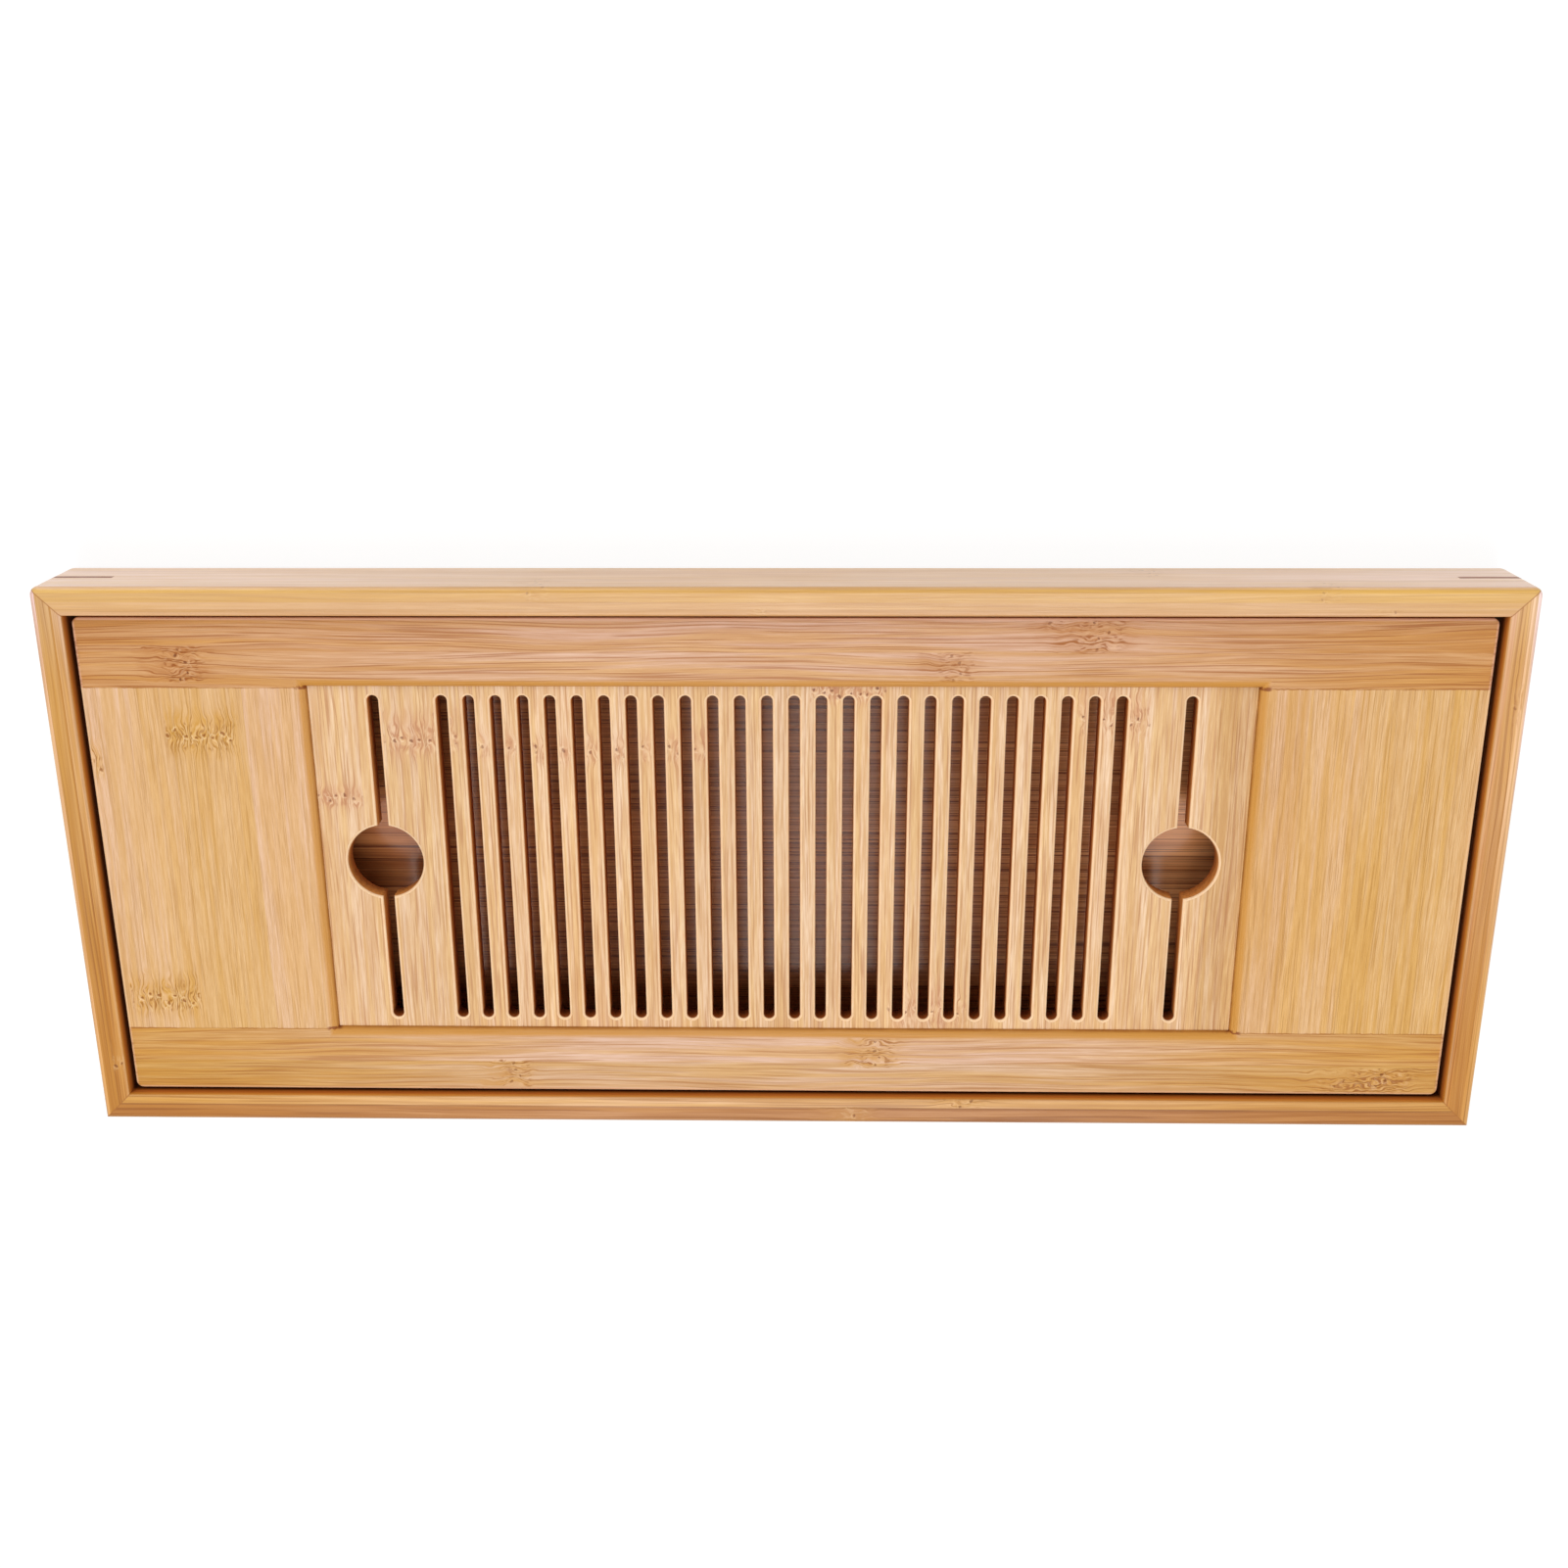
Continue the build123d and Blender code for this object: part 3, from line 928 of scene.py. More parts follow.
@dataclass
class CatchBox:
    """The mitred box with its keys, bottom board, ledges, seal bead and feet. Sizes in millimetres."""

    effects: Effects
    half_length: float = 195.0
    half_width: float = 77.5
    wall: float = 7.7

    def build(self) -> None:
        """Dresses every piece of the box."""
        self._rails()
        self._keys()
        self._inside()
        self._feet()

    def _rails(self) -> None:
        """Dresses the four rails, whose strips are glued through their thickness.

        The pale outermost strips of the front and side rails are painted sheen on the rounded outer edge.
        """
        common = {
            "grain": Grain.ALONG_X, "pale": (0.72, 0.42, 0.17), "gold": (0.66, 0.35, 0.08),
            "deep": (0.48, 0.22, 0.06), "line": (0.36, 0.15, 0.04), "streak_length": 46.0,
            "streak_width": 0.8, "mitre": (self.half_length, self.half_width),
            "cavity": (self.half_length - self.wall, self.half_width - self.wall),
        }
        front = BambooFinish(
            name="front_rail_bamboo", strip_start=-self.half_width,
            strips=(
                # The thin outermost strip is painted sheen on the outer face.
                Strip(0.15, (1.08, 1.16, 1.62)), Strip(0.45, (1.01, 1.0, 0.95)),
                Strip(0.9, (0.925, 0.88, 0.42)), Strip(2.5, (0.895, 0.85, 0.52)),
                Strip(1.8, (0.895, 0.85, 0.74)), Strip(0.8, (0.78, 0.69, 0.55)),
                Strip(1.1, (0.89, 0.8, 0.69)),
            ),
            # Painted light: the rail turns lighter and paler towards both ends.
            drifts=(Drift(Course.TO_BOTH_ENDS, 50.0, 185.0, (1.17, 1.3, 1.78)),), coat=0.55,
            edge_share=0.15, streak_share=0.26, line_share=0.15, stroke_share=0.3,
            knots=(
                Knot(63.1, -77.0, 30.0, 3.2, 3.0, 9.0, 0.4), Knot(5.4, -71.0, 31.0, 1.6, 1.4, 3.0, 0.5),
                Knot(-140.8, -75.4, 31.0, 2.6, 2.2, 8.0, 0.4),
                Knot(-155.8, -70.3, 31.0, 3.0, 1.6, 3.0, 0.5), Knot(-97.3, -77.5, 12.0, 4.0, 2.0, 7.0, 0.5),
            ),
            shift=0.1, **common,
        )
        rear = BambooFinish(
            name="rear_rail_bamboo", strip_start=self.half_width - self.wall,
            strips=(
                Strip(2.6, (1.08, 1.15, 1.5)), Strip(0.5, (0.67, 0.58, 0.66)),
                Strip(3.4, (0.78, 0.66, 0.68)), Strip(1.2, (0.77, 0.7, 0.95)),
            ),
            drifts=(
                # Painted sheen: darker and more golden towards both ends, so that the middle looks lit by
                # the lamp's sheen.
                Drift(Course.TO_BOTH_ENDS, 30.0, 185.0, (0.93, 0.82, 0.45)),
                Drift(Course.TO_THE_RIGHT, 60.0, -60.0, (0.93, 0.9, 0.88)),
            ),
            coat=0.05, shine=0.22, edge_share=0.15, streak_share=0.55, line_share=0.62, stroke_share=0.3,
            knots=(
                Knot(-52.4, 70.6, 31.0, 4.5, 1.8, 4.0, 0.9), Knot(-20.6, 74.9, 30.0, 5.0, 2.4, 8.0, 0.8),
                Knot(96.0, 77.5, 14.0, 4.0, 2.0, 9.0, 0.8),
            ),
            shift=0.4, **common,
        )
        common |= {
            "grain": Grain.ALONG_Y, "coat": 0.05, "shine": 0.22, "streak_share": 0.55, "line_share": 0.5,
        }
        left = BambooFinish(
            name="left_rail_bamboo", strip_start=-self.half_length,
            strips=(
                # The outer strips, palest at the edge, are painted sheen on the rounded outer edge.
                Strip(0.7, (1.5, 1.8, 3.7)), Strip(0.6, (1.31, 1.5, 2.76)), Strip(0.4, (1.02, 1.08, 1.5)),
                Strip(0.8, (1.23, 1.32, 1.84)), Strip(3.6, (1.0, 0.96, 1.01)),
                Strip(1.3, (1.06, 1.0, 1.25)), Strip(0.3, (0.95, 0.82, 0.75)),
            ),
            drifts=(
                Drift(Course.TO_THE_REAR, -52.0, -77.0, (1.13, 1.28, 1.65)),
                Drift(Course.TO_THE_REAR, -40.0, 60.0, (0.82, 0.675, 0.33)),
            ),
            knots=(Knot(-191.9, -47.0, 30.0, 6.0, 1.3, 8.0, 0.5),), stroke_share=0.2,
            shade_tint=(0.42, 0.15, 0.05), shift=0.7, **common,
        )
        right = BambooFinish(
            name="right_rail_bamboo", strip_start=self.half_length - self.wall,
            strips=(
                Strip(0.8, (1.06, 1.07, 1.22)), Strip(1.5, (0.97, 0.93, 0.88)),
                Strip(0.5, (0.76, 0.62, 0.38)), Strip(3.4, (0.91, 0.85, 0.66)),
                # The outermost strip is painted sheen on the rounded outer edge.
                Strip(1.5, (1.24, 1.38, 2.4)),
            ),
            drifts=(
                Drift(Course.TO_THE_REAR, -50.0, -77.0, (1.07, 1.22, 1.85)),
                Drift(Course.TO_THE_REAR, -40.0, 65.0, (0.89, 0.76, 0.46)),
            ),
            knots=(Knot(188.8, 59.4, 31.0, 2.4, 1.8, 4.0, 0.9),), stroke_share=0.25, shift=0.2, **common,
        )
        for node, finish in (("front", front), ("rear", rear), ("left", left), ("right", right)):
            wear(node + "_rail", finish, self.effects)

    def _keys(self) -> None:
        """Dresses the dark slips that lock the mitres."""
        dark = BambooFinish(
            name="dark_bamboo", grain=Grain.ALONG_X, pale=(0.43, 0.2, 0.12), gold=(0.36, 0.16, 0.085),
            deep=(0.22, 0.09, 0.05), line=(0.16, 0.06, 0.04), edge_share=0.0, streak_length=9.0,
            streak_width=0.5, roughness=(0.42, 0.56), coat=0.05, shine=0.3,
        )
        for node in ("front_left_key", "front_right_key", "rear_left_key", "rear_right_key"):
            wear(node, dark, self.effects)

    def _inside(self) -> None:
        """Dresses the brown lacquered bottom board and ledges, and the seal bead."""
        bottom = BambooFinish(
            name="brown_laminate", grain=Grain.ALONG_X, pale=(0.86, 0.42, 0.17), gold=(0.8, 0.36, 0.12),
            deep=(0.42, 0.14, 0.04), line=(0.16, 0.04, 0.012), streak_share=0.66, line_share=0.78,
            fine_share=0.45, streak_length=70.0, streak_width=0.5,
            drifts=(
                # Painted shade: darker towards the rear and towards the right end, where the rails and the
                # slots' bars shade the floor.
                Drift(Course.TO_THE_REAR, 0.0, 55.0, (0.6, 0.5, 0.42)),
                Drift(Course.TO_THE_RIGHT, -100.0, 100.0, (0.74, 0.6, 0.48)),
            ),
            wander=0.15, strip_start=-73.0, strips=strips_between(-73.0, 73.0, 16.0, 0.06, 5),
            edge_share=0.1, roughness=(0.5, 0.62), coat=0.34, coat_roughness=0.2, shine=0.15,
        )
        wear("bottom_board", bottom, self.effects)
        for node, grain in (
            ("front_ledge", Grain.ALONG_X), ("rear_ledge", Grain.ALONG_X), ("left_ledge", Grain.ALONG_Y),
            ("right_ledge", Grain.ALONG_Y),
        ):
            ledge = BambooFinish(
                name="brown_bamboo", grain=grain, pale=(0.5, 0.25, 0.11), gold=(0.44, 0.2, 0.07),
                deep=(0.26, 0.11, 0.04), line=(0.16, 0.06, 0.025), streak_length=30.0, streak_width=0.8,
                edge_share=0.2,
            )
            wear(node, ledge, self.effects)
        paint("seal_bead", BeadFinish().material())

    def _feet(self) -> None:
        """Dresses the four rubber feet."""
        rubber = RubberFinish().material()
        for node in ("front_left_foot", "front_right_foot", "rear_left_foot", "rear_right_foot"):
            paint(node, rubber)


# The lid's wood is drier than the box's.
LID_SHEEN = {"coat": 0.0, "shine": 0.2, "edge_share": 0.0}


@dataclass
class LidFrame:
    """The two long rails and two end boards of the lid, round the bevelled recess. Sizes in millimetres."""

    effects: Effects
    half_width: float = 68.9
    board_half_length: float = 126.025
    half_length: float = 186.0
    recess: Recess = Recess()

    def build(self) -> None:
        """Dresses the four pieces."""
        common = LID_SHEEN | {"recess": self.recess, "sides": (self.half_length, self.half_width)}
        self._rails(common)
        self._boards(common)

    def _rails(self, common: dict[str, object]) -> None:
        """Dresses the two long rails.

        Args:
            common: What the four finishes share.
        """
        common = common | {
            "grain": Grain.ALONG_X, "lane": 2.2, "stroke": 3.6, "knot_share": 0.95, "flecks": 0.9,
        }
        front = BambooFinish(
            name="pinkish_bamboo", pale=(0.72, 0.465, 0.325), gold=(0.675, 0.37, 0.115),
            deep=(0.49, 0.225, 0.085), line=(0.38, 0.14, 0.045), band_share=0.15, streak_share=0.4,
            line_share=0.68, edge_tint=(0.76, 0.45, 0.3), wild=0.9, fine_share=0.36, streak_length=30.0,
            streak_width=0.64, wander=1.5, stroke_share=0.35, shade_share=0.94,
            shade_tint=(0.31, 0.09, 0.012), stroke_tint=(0.78, 0.5, 0.28), pit_tint=(0.17, 0.04, 0.005),
            # Painted sheen: darker and more golden towards both ends, so that the middle looks lit by the
            # lamp's sheen.
            drifts=(Drift(Course.TO_BOTH_ENDS, 30.0, 185.0, (0.892, 0.755, 0.45)),),
            strip_start=-self.half_width,
            strips=(Strip(9.2, (0.98, 0.97, 1.02)), Strip(9.8, (1.02, 1.03, 1.06)), Strip(5.0, WHITE)),
            knots=(
                Knot(158.0, -56.2, 28.0, 5.0, 5.0, 6.0, 1.0), Knot(-46.1, -55.4, 28.0, 4.6, 4.6, 6.0, 0.6),
                Knot(-83.4, -64.4, 28.0, 6.5, 4.8, 6.0, 0.8), Knot(-72.0, -67.0, 28.0, 3.5, 1.8, 6.0, 0.6),
            ),
            knot_tint=(0.46, 0.18, 0.05), shift=0.35, **common,
        )
        rear = BambooFinish(
            name="honey_bamboo", pale=(0.71, 0.48, 0.335), gold=(0.665, 0.38, 0.115),
            deep=(0.49, 0.245, 0.085), line=(0.4, 0.165, 0.05), band_share=0.2, streak_share=0.42,
            line_share=0.6, edge_tint=(0.76, 0.47, 0.28), wild=1.3, fine_share=0.34, streak_length=29.0,
            streak_width=0.72, wander=1.4, stroke_share=0.32, shade_share=0.9,
            shade_tint=(0.33, 0.115, 0.018), stroke_tint=(0.8, 0.54, 0.3),
            # Painted sheen: darker and more golden towards both ends, so that the middle looks lit by the
            # lamp's sheen.
            drifts=(Drift(Course.TO_BOTH_ENDS, 30.0, 185.0, (0.9, 0.76, 0.33)),),
            strip_start=self.half_width - 24.0,
            strips=(Strip(5.0, WHITE), Strip(10.0, (1.04, 1.04, 1.14)), Strip(9.0, (0.98, 0.98, 0.95))),
            knots=(
                Knot(76.3, 63.8, 28.0, 4.4, 4.4, 6.0, 0.7), Knot(-26.8, 56.6, 28.0, 5.4, 4.8, 6.0, 0.8),
                Knot(-169.5, 65.0, 28.0, 8.5, 4.6, 6.0, 1.0), Knot(-158.0, 66.2, 28.0, 6.0, 2.6, 6.0, 0.6),
            ),
            shift=0.8, **common,
        )
        wear("lid_front_rail", front, self.effects)
        wear("lid_rear_rail", rear, self.effects)

    def _boards(self, common: dict[str, object]) -> None:
        """Dresses the two end boards.

        Args:
            common: What the four finishes share.
        """
        golden = common | {
            "name": "golden_bamboo", "grain": Grain.ALONG_Y, "pale": (0.8, 0.52, 0.31),
            "gold": (0.725, 0.405, 0.11), "deep": (0.565, 0.285, 0.07), "line": (0.43, 0.19, 0.035),
            "knot_share": 0.85, "shade_share": 0.8, "shade_tint": (0.36, 0.14, 0.018), "stroke_share": 0.5,
            "pit_tint": (0.27, 0.085, 0.01), "band_share": 0.2,
            "drifts": (
                Drift(Course.TO_THE_REAR, -70.0, 60.0, (0.99, 0.98, 0.88)),
                # Painted sheen: more golden towards both ends, so that the middle looks lit by the lamp's
                # sheen.
                Drift(Course.TO_BOTH_ENDS, 30.0, 185.0, (0.98, 0.96, 0.82)),
            ),
            "streak_share": 0.38, "line_share": 0.42, "fine_share": 0.4, "streak_length": 15.0,
            "streak_width": 0.48, "wander": 0.5, "knot_tint": (0.6, 0.3, 0.045),
        }
        right = BambooFinish(
            strip_start=self.board_half_length,
            strips=(
                Strip(17.0, (1.0, 1.03, 1.34)), Strip(20.0, (0.96, 0.96, 0.96)),
                Strip(8.0, (0.98, 0.99, 1.08)), Strip(14.975, (1.01, 1.06, 1.42)),
            ),
            knots=(
                Knot(155.2, -36.2, 28.0, 3.5, 9.8, 6.0), Knot(184.8, -28.2, 28.0, 3.0, 2.6, 6.0, 0.8),
                Knot(174.0, 40.8, 28.0, 3.5, 9.6, 6.0),
            ),
            shift=0.25,
            **(golden | {"hue_share": 0.5, "band_share": 0.12, "streak_share": 0.3, "line_share": 0.32}),
        )
        left = BambooFinish(
            strip_start=-self.half_length,
            strips=(
                Strip(20.0, (0.98, 0.99, 1.0)), Strip(11.0, (0.98, 0.98, 0.96)),
                Strip(16.0, (1.0, 1.01, 1.14)), Strip(12.975, (0.96, 0.94, 1.06)),
            ),
            shift=0.6, **golden,
        )
        wear("lid_right_board", right, self.effects)
        wear("lid_left_board", left, self.effects)


# The cutters of the drain slots and finger holes: their sides, the steps and the last angle of the flare
# that rounds the arris, and how far they run past the board.
SLOT_SIDES = 24
HOLE_SIDES = 72
FLARE_STEPS = 4
FLARE_END = math.radians(80)
CUT_PAST = 1.0 * MM


@dataclass
class SlottedBoard:
    """The sunk board of the lid, with its drain slots and finger holes. Sizes in millimetres."""

    effects: Effects
    half_length: float = 126.025
    half_width: float = 49.9
    base: float = 21.0
    top: float = 26.8
    tongue_half_width: float = 53.6
    tongue_base: float = 22.8
    tongue_top: float = 25.0
    slots: int = 26
    pitch: float = 7.25
    slot_length: float = 94.4
    slot_width: float = 3.0
    rounding: float = 0.8
    finger_offset: float = 109.025
    hole_radius: float = 10.4
    knots: tuple[Knot, ...] = (
        Knot(119.8, -18.1, 26.0, 1.8, 6.4, 6.0, 0.8), Knot(96.5, -35.2, 26.0, 3.6, 10.0, 6.0, 0.9),
        Knot(76.5, -33.0, 26.0, 2.6, 9.6, 6.0, 0.75), Knot(57.0, -31.2, 26.0, 2.4, 9.4, 6.0, 0.8),
        Knot(32.0, -31.8, 26.0, 3.0, 15.0, 6.0, 0.8), Knot(-17.8, -48.3, 26.0, 2.6, 10.4, 6.0, 1.0),
        Knot(-88.2, -40.8, 26.0, 3.8, 9.6, 6.0, 0.9), Knot(-41.0, 44.5, 26.0, 4.2, 11.0, 6.0, 0.8),
    )

    def build(self) -> None:
        """Cuts the board, dresses it and lets it stand for the CAD node."""
        low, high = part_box("slotted_board")
        finish = BambooFinish(
            name="pale_bamboo", grain=Grain.ALONG_Y, pale=(0.85, 0.615, 0.415),
            drifts=(Drift(Course.TO_THE_REAR, -70.0, 60.0, (0.975, 0.955, 0.93)),), gold=(0.79, 0.505, 0.2),
            deep=(0.6, 0.325, 0.13), line=(0.48, 0.215, 0.09), streak_share=0.58, line_share=0.6,
            fine_share=0.4, streak_length=16.0, streak_width=0.68, wander=0.5, stroke=3.2,
            strip_start=-self.half_length,
            strips=(
                Strip(9.6, (0.86, 0.8, 0.68)),
                *strips_between(9.6 - self.half_length, self.half_length, 19.4, 0.035, 11),
            ),
            knots=self.knots, knot_tint=(0.62, 0.31, 0.17), shade_tint=(0.48, 0.2, 0.09),
            pit_tint=(0.2, 0.06, 0.025), stroke_tint=(0.93, 0.7, 0.45), stroke_share=0.5, knot_share=0.7,
            shade_share=0.65, shift=0.5, **LID_SHEEN,
        )
        board = finish.material(self.effects, "slotted_board", low, high)
        wall = CutFinish(top=self.top).material(self.effects)
        blank = self._blank()
        mesh = self._cut(blank, board, wall)
        bpy.data.objects.remove(blank)
        piece = new_object("drain_board", mesh)
        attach(piece, "lid")
        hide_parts("slotted_board")
        log.info("%s: %d faces", piece.name, len(mesh.polygons))

    def _blank(self) -> bpy.types.Object:
        """Makes the board before it is slotted: a bar with a tongue along each end of its grain.

        Returns:
            The object.
        """
        rear = (
            (self.half_width, self.base), (self.half_width, self.tongue_base),
            (self.tongue_half_width, self.tongue_base), (self.tongue_half_width, self.tongue_top),
            (self.half_width, self.tongue_top), (self.half_width, self.top),
        )
        front = [(-y, z) for y, z in reversed(rear)]
        side = (front[-1], *rear, *front[:-1])
        made = bmesh.new()
        rows = []
        for x in (-self.half_length, self.half_length):
            rows.append([made.verts.new((x * MM, y * MM, z * MM)) for y, z in side])
        made.faces.new(reversed(rows[0]))
        made.faces.new(rows[1])
        for here in range(len(side)):
            after = (here + 1) % len(side)
            made.faces.new((rows[0][here], rows[0][after], rows[1][after], rows[1][here]))
        bmesh.ops.recalc_face_normals(made, faces=made.faces)
        mesh = bpy.data.meshes.new("board_blank")
        made.to_mesh(mesh)
        made.free()
        return new_object("board_blank", mesh)

    def _tree(self, values: dict[str, Value]) -> Tree:
        """Builds the Geometry Nodes tree that cuts the openings.

        Args:
            values: The tree's inputs beside the blank, by name.

        Returns:
            The tree.
        """
        tree = bpy.data.node_groups.new("drain_slots", "GeometryNodeTree")
        tree.interface.new_socket(name="Blank", in_out="INPUT", socket_type="NodeSocketGeometry")
        for name, value in values.items():
            new_input(tree, name, value)
        tree.interface.new_socket(name="Board", in_out="OUTPUT", socket_type="NodeSocketGeometry")
        graph = Graph(tree)
        given = graph.node("NodeGroupInput").outputs
        half_slot = graph.over(given["Slot Width"], 2.0 * math.cos(math.pi / SLOT_SIDES))
        slot = self._cutter(graph, given, SLOT_SIDES, half_slot)
        reach = graph.over(graph.minus(given["Slot Length"], given["Slot Width"]), 2.0)
        _, y, _ = graph.split(graph.node("GeometryNodeInputPosition").outputs[0])
        apart = graph.join(0.0, graph.times(graph.maths("SIGN", y), reach), 0.0)
        slot = graph.node("GeometryNodeSetPosition", {"Geometry": slot, "Offset": apart}).outputs[0]
        hole = self._cutter(graph, given, HOLE_SIDES, given["Hole Radius"])
        first = graph.times(graph.minus(given["Slot Count"], 1), given["Slot Pitch"])
        row = self._row(graph, given["Slot Count"], graph.over(first, -2.0), given["Slot Pitch"])
        left = graph.times(given["Finger Offset"], -1.0)
        pair = self._row(graph, 2, left, graph.times(given["Finger Offset"], 2.0))
        places = graph.node("GeometryNodeJoinGeometry").inputs[0]
        tree.links.new(row, places)
        tree.links.new(pair, places)
        slots = self._repeat(graph, places.node.outputs[0], slot)
        holes = self._repeat(graph, pair, hole)
        cutters = []
        for cutter in (slots, holes):
            painted = graph.node("GeometryNodeSetMaterial", {"Geometry": cutter, "Material": given["Wall"]})
            smooth = graph.node("GeometryNodeSetShadeSmooth", {0: painted.outputs[0], "Shade Smooth": True})
            cutters.append(smooth.outputs[0])
        inputs = {"Geometry": given["Blank"], "Material": given["Face"]}
        blank = graph.node("GeometryNodeSetMaterial", inputs)
        blank = graph.node("GeometryNodeSetShadeSmooth", {0: blank.outputs[0], "Shade Smooth": False})
        cut = graph.node("GeometryNodeMeshBoolean", {"Mesh 1": blank.outputs[0]}, operation="DIFFERENCE")
        cut.solver = "EXACT"
        for cutter in reversed(cutters):
            tree.links.new(cutter, cut.inputs["Mesh 2"])
        whole = graph.node("GeometryNodeRealizeInstances", {0: cut.outputs[0]}).outputs[0]
        on_wall = graph.node("GeometryNodeMaterialSelection", {"Material": given["Wall"]}).outputs[0]
        off_wall = graph.node("FunctionNodeBooleanMath", {0: on_wall}, operation="NOT").outputs[0]
        inputs = {"Geometry": whole, "Selection": off_wall, "Material": given["Face"]}
        finished = graph.node("GeometryNodeSetMaterial", inputs).outputs[0]
        graph.node("NodeGroupOutput", {0: finished})
        return tree

    def _row(self, graph: Graph, count: Value, first: Value, pitch: Value) -> Socket:
        """Adds a row of places along the tray, by their number, the first one and the pitch."""
        inputs = {
            "Count": count, "Start Location": graph.join(first, 0.0, 0.0),
            "Offset": graph.join(pitch, 0.0, 0.0),
        }
        return graph.node("GeometryNodeMeshLine", inputs, mode="OFFSET").outputs[0]

    def _cutter(self, graph: Graph, given: bpy.types.NodeOutputs, sides: int, radius: Value) -> Socket:
        """Adds a round cutter that flares at the board's face, so that it leaves a rounded arris.

        Args:
            graph: The tree's graph.
            given: The tree's inputs.
            sides: How many sides the cutter has.
            radius: Its radius below the flare.

        Returns:
            The cutter's mesh, upright and centred on the origin's axis.
        """
        rings = FLARE_STEPS + 2
        inputs = {
            "Vertices": sides, "Side Segments": rings, "Fill Segments": 1, "Radius": 1.0, "Depth": 1.0,
        }
        tube = graph.node("GeometryNodeMeshCylinder", inputs, fill_type="NGON").outputs[0]
        x, y, z = graph.split(graph.node("GeometryNodeInputPosition").outputs[0])
        ring = graph.maths("ROUND", graph.times(graph.plus(z, 0.5), float(rings)))
        share = graph.over(graph.minus(ring, 1.0), float(FLARE_STEPS), clamp=True)
        angle = graph.times(share, FLARE_END)
        flare = graph.times(given["Rounding"], graph.minus(1.0, graph.maths("COSINE", angle)))
        wide = graph.plus(radius, flare)
        rise = graph.times(given["Rounding"], graph.maths("SINE", angle))
        level = graph.plus(graph.minus(given["Board Top"], given["Rounding"]), rise)
        lowest = graph.maths("LESS_THAN", ring, 0.5)
        highest = graph.maths("GREATER_THAN", ring, FLARE_STEPS + 1.5)
        drop = graph.minus(given["Board Base"], graph.minus(level, -CUT_PAST))
        level = graph.times_plus(lowest, drop, level)
        level = graph.times_plus(highest, CUT_PAST, level)
        start = math.pi / sides
        turned_x = graph.minus(graph.times(x, math.cos(start)), graph.times(y, math.sin(start)))
        turned_y = graph.plus(graph.times(x, math.sin(start)), graph.times(y, math.cos(start)))
        place = graph.join(graph.times(turned_x, wide), graph.times(turned_y, wide), level)
        return graph.node("GeometryNodeSetPosition", {"Geometry": tube, "Position": place}).outputs[0]

    def _repeat(self, graph: Graph, places: Socket, cutter: Socket) -> Socket:
        """Puts a cutter on each place, and gives all of them as one mesh."""
        copies = graph.node("GeometryNodeInstanceOnPoints", {"Points": places, "Instance": cutter})
        return graph.node("GeometryNodeRealizeInstances", {0: copies.outputs[0]}).outputs[0]

    def _cut(self, blank: bpy.types.Object, face: Material, wall: Material) -> bpy.types.Mesh:
        """Cuts the openings into the blank and keeps the result as a plain mesh.

        Args:
            blank: The board before it is slotted.
            face: The material of the board's faces.
            wall: The material of the cut walls.

        Returns:
            The slotted board's mesh.
        """
        values = {
            "Slot Count": self.slots, "Slot Pitch": self.pitch * MM, "Slot Length": self.slot_length * MM,
            "Slot Width": self.slot_width * MM, "Rounding": self.rounding * MM,
            "Finger Offset": self.finger_offset * MM, "Hole Radius": self.hole_radius * MM,
            "Board Base": self.base * MM, "Board Top": self.top * MM, "Face": face, "Wall": wall,
        }
        tree = self._tree(values)
        modifier = blank.modifiers.new("drain_slots", "NODES")
        modifier.node_group = tree
        for item in tree.interface.items_tree:
            if item.item_type == "SOCKET" and item.in_out == "INPUT" and item.name in values:
                modifier[item.identifier] = values[item.name]
        bpy.context.view_layer.update()
        graph = bpy.context.evaluated_depsgraph_get()
        mesh = bpy.data.meshes.new_from_object(blank.evaluated_get(graph), depsgraph=graph)
        mesh.name = "drain_board"
        blank.modifiers.remove(modifier)
        return mesh


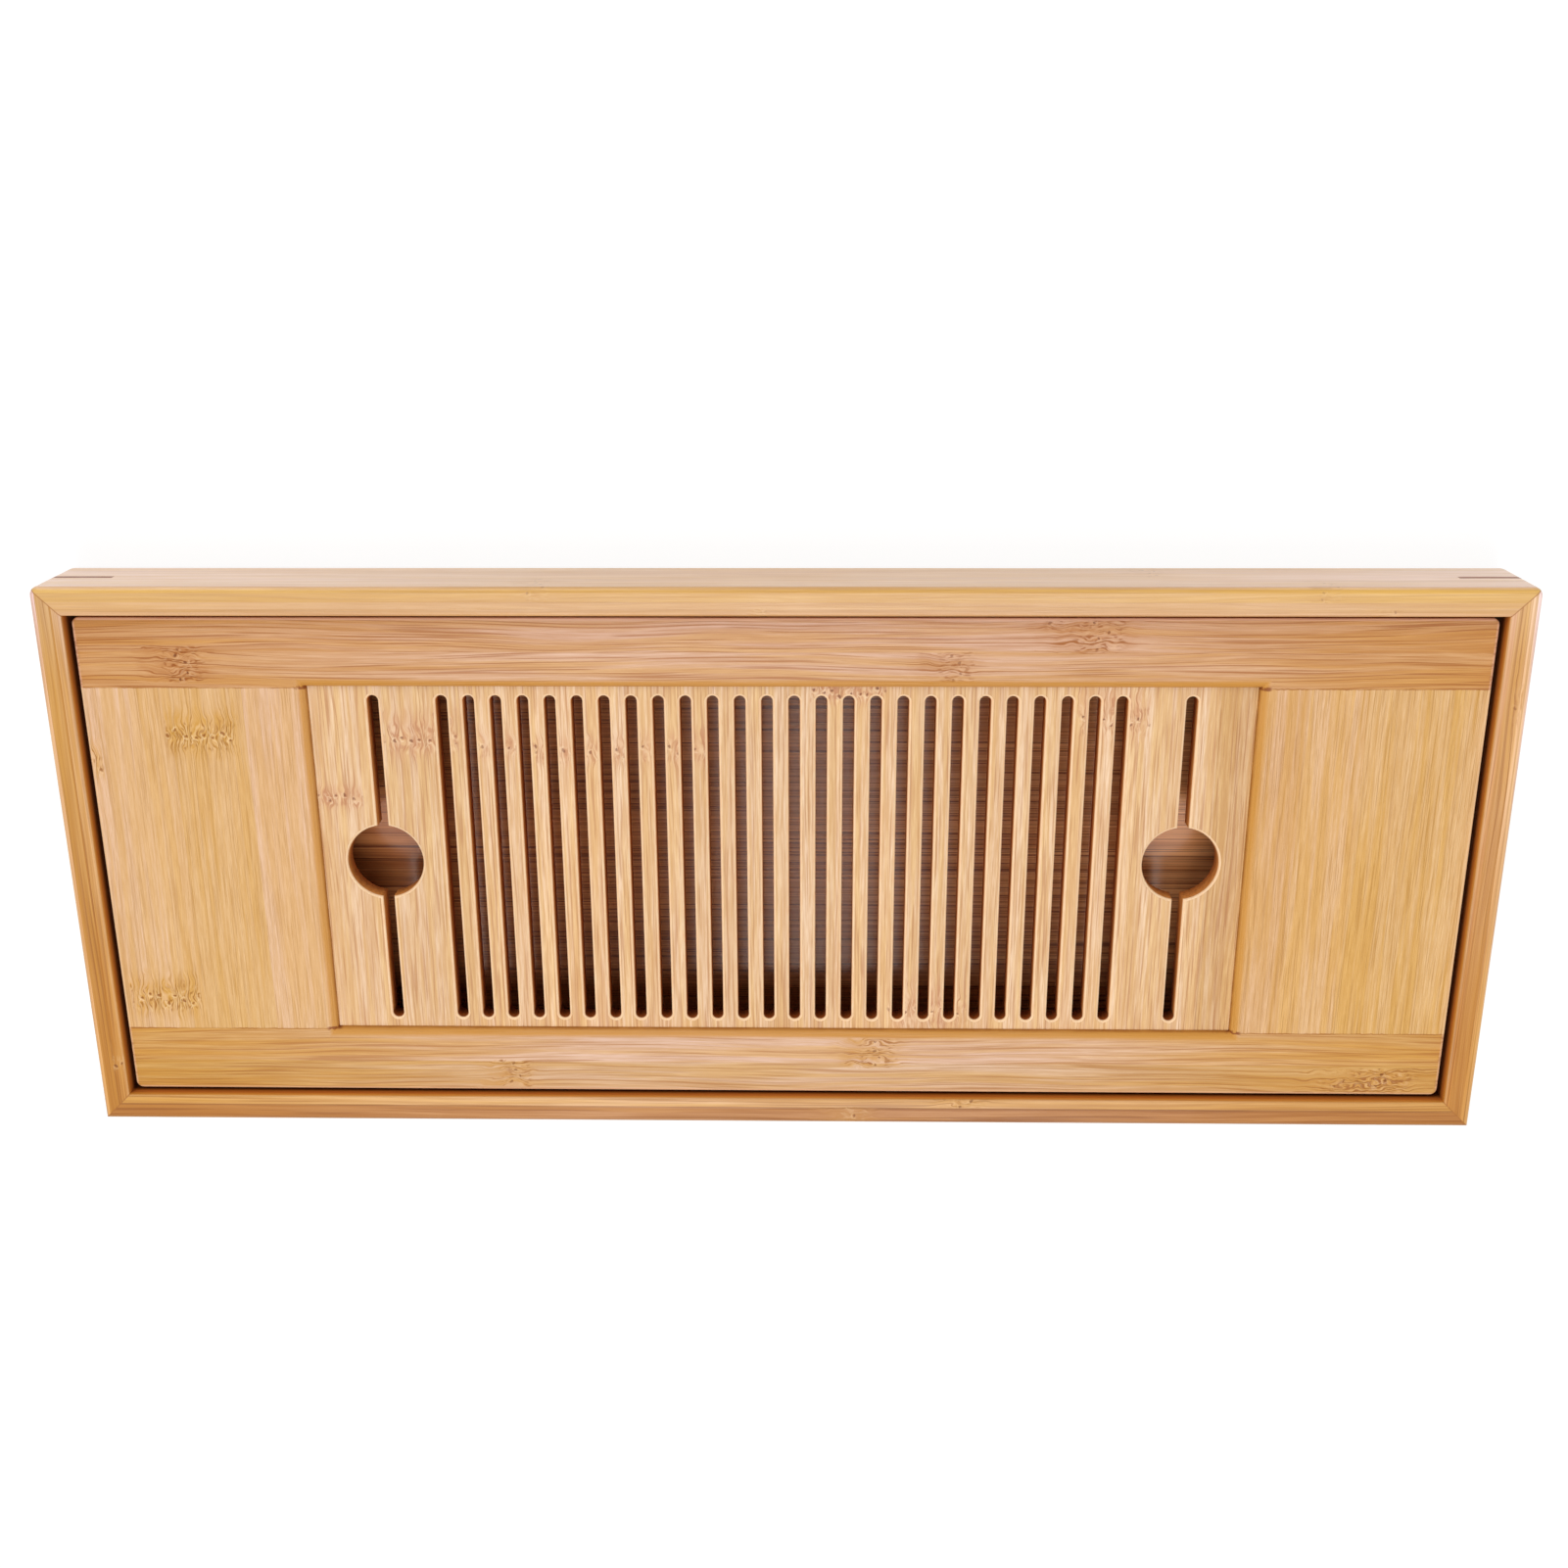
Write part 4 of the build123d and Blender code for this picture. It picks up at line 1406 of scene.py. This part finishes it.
@dataclass
class Studio:
    """The camera, the pale floor and the soft light. Lengths in metres."""

    camera_at: Point = (-0.01022, -0.17146, 0.48406)
    right: Point = (-0.999793, 0.00369, -0.019993)
    up: Point = (0.003341, -0.940198, -0.340611)
    back: Point = (-0.020054, -0.340608, 0.939992)
    lens: float = 40.89
    sensor: float = 36.0
    slide: float = 0.00075
    lift: float = 0.0378
    world_level: float = 0.46
    floor_reach: float = 6.0

    def build(self) -> None:
        """Builds the studio."""
        self._camera()
        self._world()
        self._floor()
        self._lamps()

    def _camera(self) -> None:
        """Stands the camera where the photograph was taken from: over the tray, on its front side."""
        lens = bpy.data.cameras.new("camera")
        lens.lens = self.lens
        lens.sensor_width = self.sensor
        lens.sensor_fit = "HORIZONTAL"
        lens.shift_x = self.slide
        lens.shift_y = self.lift
        lens.clip_start = 0.01
        lens.clip_end = 20.0
        camera = new_object("camera", lens)
        turn = Matrix((self.right, self.up, self.back)).transposed().to_4x4()
        camera.matrix_world = Matrix.Translation(self.camera_at) @ turn
        bpy.context.scene.camera = camera

    def _world(self) -> None:
        """Lights the tray from all round, and shows plain white to the camera and in reflections."""
        world = bpy.data.worlds.new("studio")
        graph = clean_graph(world)
        seen = self._seen(graph)
        light = graph.node("ShaderNodeBackground", {"Color": WHITE, "Strength": self.world_level})
        plain = graph.node("ShaderNodeBackground", {"Color": WHITE, "Strength": 1.0})
        both = graph.node("ShaderNodeMixShader", {0: seen, 1: light.outputs[0], 2: plain.outputs[0]})
        graph.node("ShaderNodeOutputWorld", {"Surface": both.outputs[0]})
        bpy.context.scene.world = world
        bpy.context.scene.view_settings.view_transform = "Standard"

    def _seen(self, graph: Graph) -> Socket:
        """Gives 1 for camera, glossy and transmitted rays, and 0 for the others."""
        path = graph.node("ShaderNodeLightPath").outputs
        seen = graph.larger(path["Is Camera Ray"], path["Is Glossy Ray"])
        return graph.larger(seen, path["Is Transmission Ray"])

    def _floor(self) -> None:
        """Lays a plain pale floor that shows white and keeps a soft shadow."""
        reach = self.floor_reach
        mesh = bpy.data.meshes.new("floor")
        corners = [(-reach, -reach, 0.0), (reach, -reach, 0.0), (reach, reach, 0.0), (-reach, reach, 0.0)]
        mesh.from_pydata(corners, [], [(0, 1, 2, 3)])
        floor = new_object("floor", mesh)
        material = bpy.data.materials.new("pale_floor")
        graph = clean_graph(material)
        paper = graph.node("ShaderNodeBsdfDiffuse", {"Color": (0.86, 0.86, 0.86)})
        glow = graph.node("ShaderNodeEmission", {"Color": WHITE, "Strength": 1.1})
        share = graph.times(self._seen(graph), 0.8)
        both = graph.node("ShaderNodeMixShader", {0: share, 1: paper.outputs[0], 2: glow.outputs[0]})
        graph.node("ShaderNodeOutputMaterial", {"Surface": both.outputs[0]})
        mesh.materials.append(material)

    def _lamps(self) -> None:
        """Hangs one wide soft box over the tray and a weaker one on the front side."""
        self._soft_box("overhead", (-0.03, 0.45, 1.25), (0.0, 0.0, 0.02), (1.0, 0.7), 10.8)
        self._soft_box("front", (0.5, -1.2, 0.9), (0.0, 0.0, 0.02), (0.9, 0.9), 7.6)

    def _soft_box(self, name: str, at: Point, towards: Point, size: Pair, watts: float) -> None:
        """Adds one rectangular lamp.

        Args:
            name: The lamp's name.
            at: Where it hangs.
            towards: The point that it faces.
            size: Its length and width.
            watts: Its power.
        """
        lamp = bpy.data.lights.new(name, "AREA")
        lamp.shape = "RECTANGLE"
        lamp.size = size[0]
        lamp.size_y = size[1]
        lamp.energy = watts
        holder = new_object(name, lamp)
        aim = Vector(towards) - Vector(at)
        holder.location = at
        holder.rotation_euler = aim.to_track_quat("-Z", "Y").to_euler()


def main() -> None:
    """Builds the tray's looks round the frame, piece by piece."""
    logging.basicConfig(level=logging.INFO, format="%(message)s")
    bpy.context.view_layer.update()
    effects = Effects()
    CatchBox(effects).build()
    LidFrame(effects).build()
    SlottedBoard(effects).build()
    Studio().build()


if __name__ == "__main__":
    main()
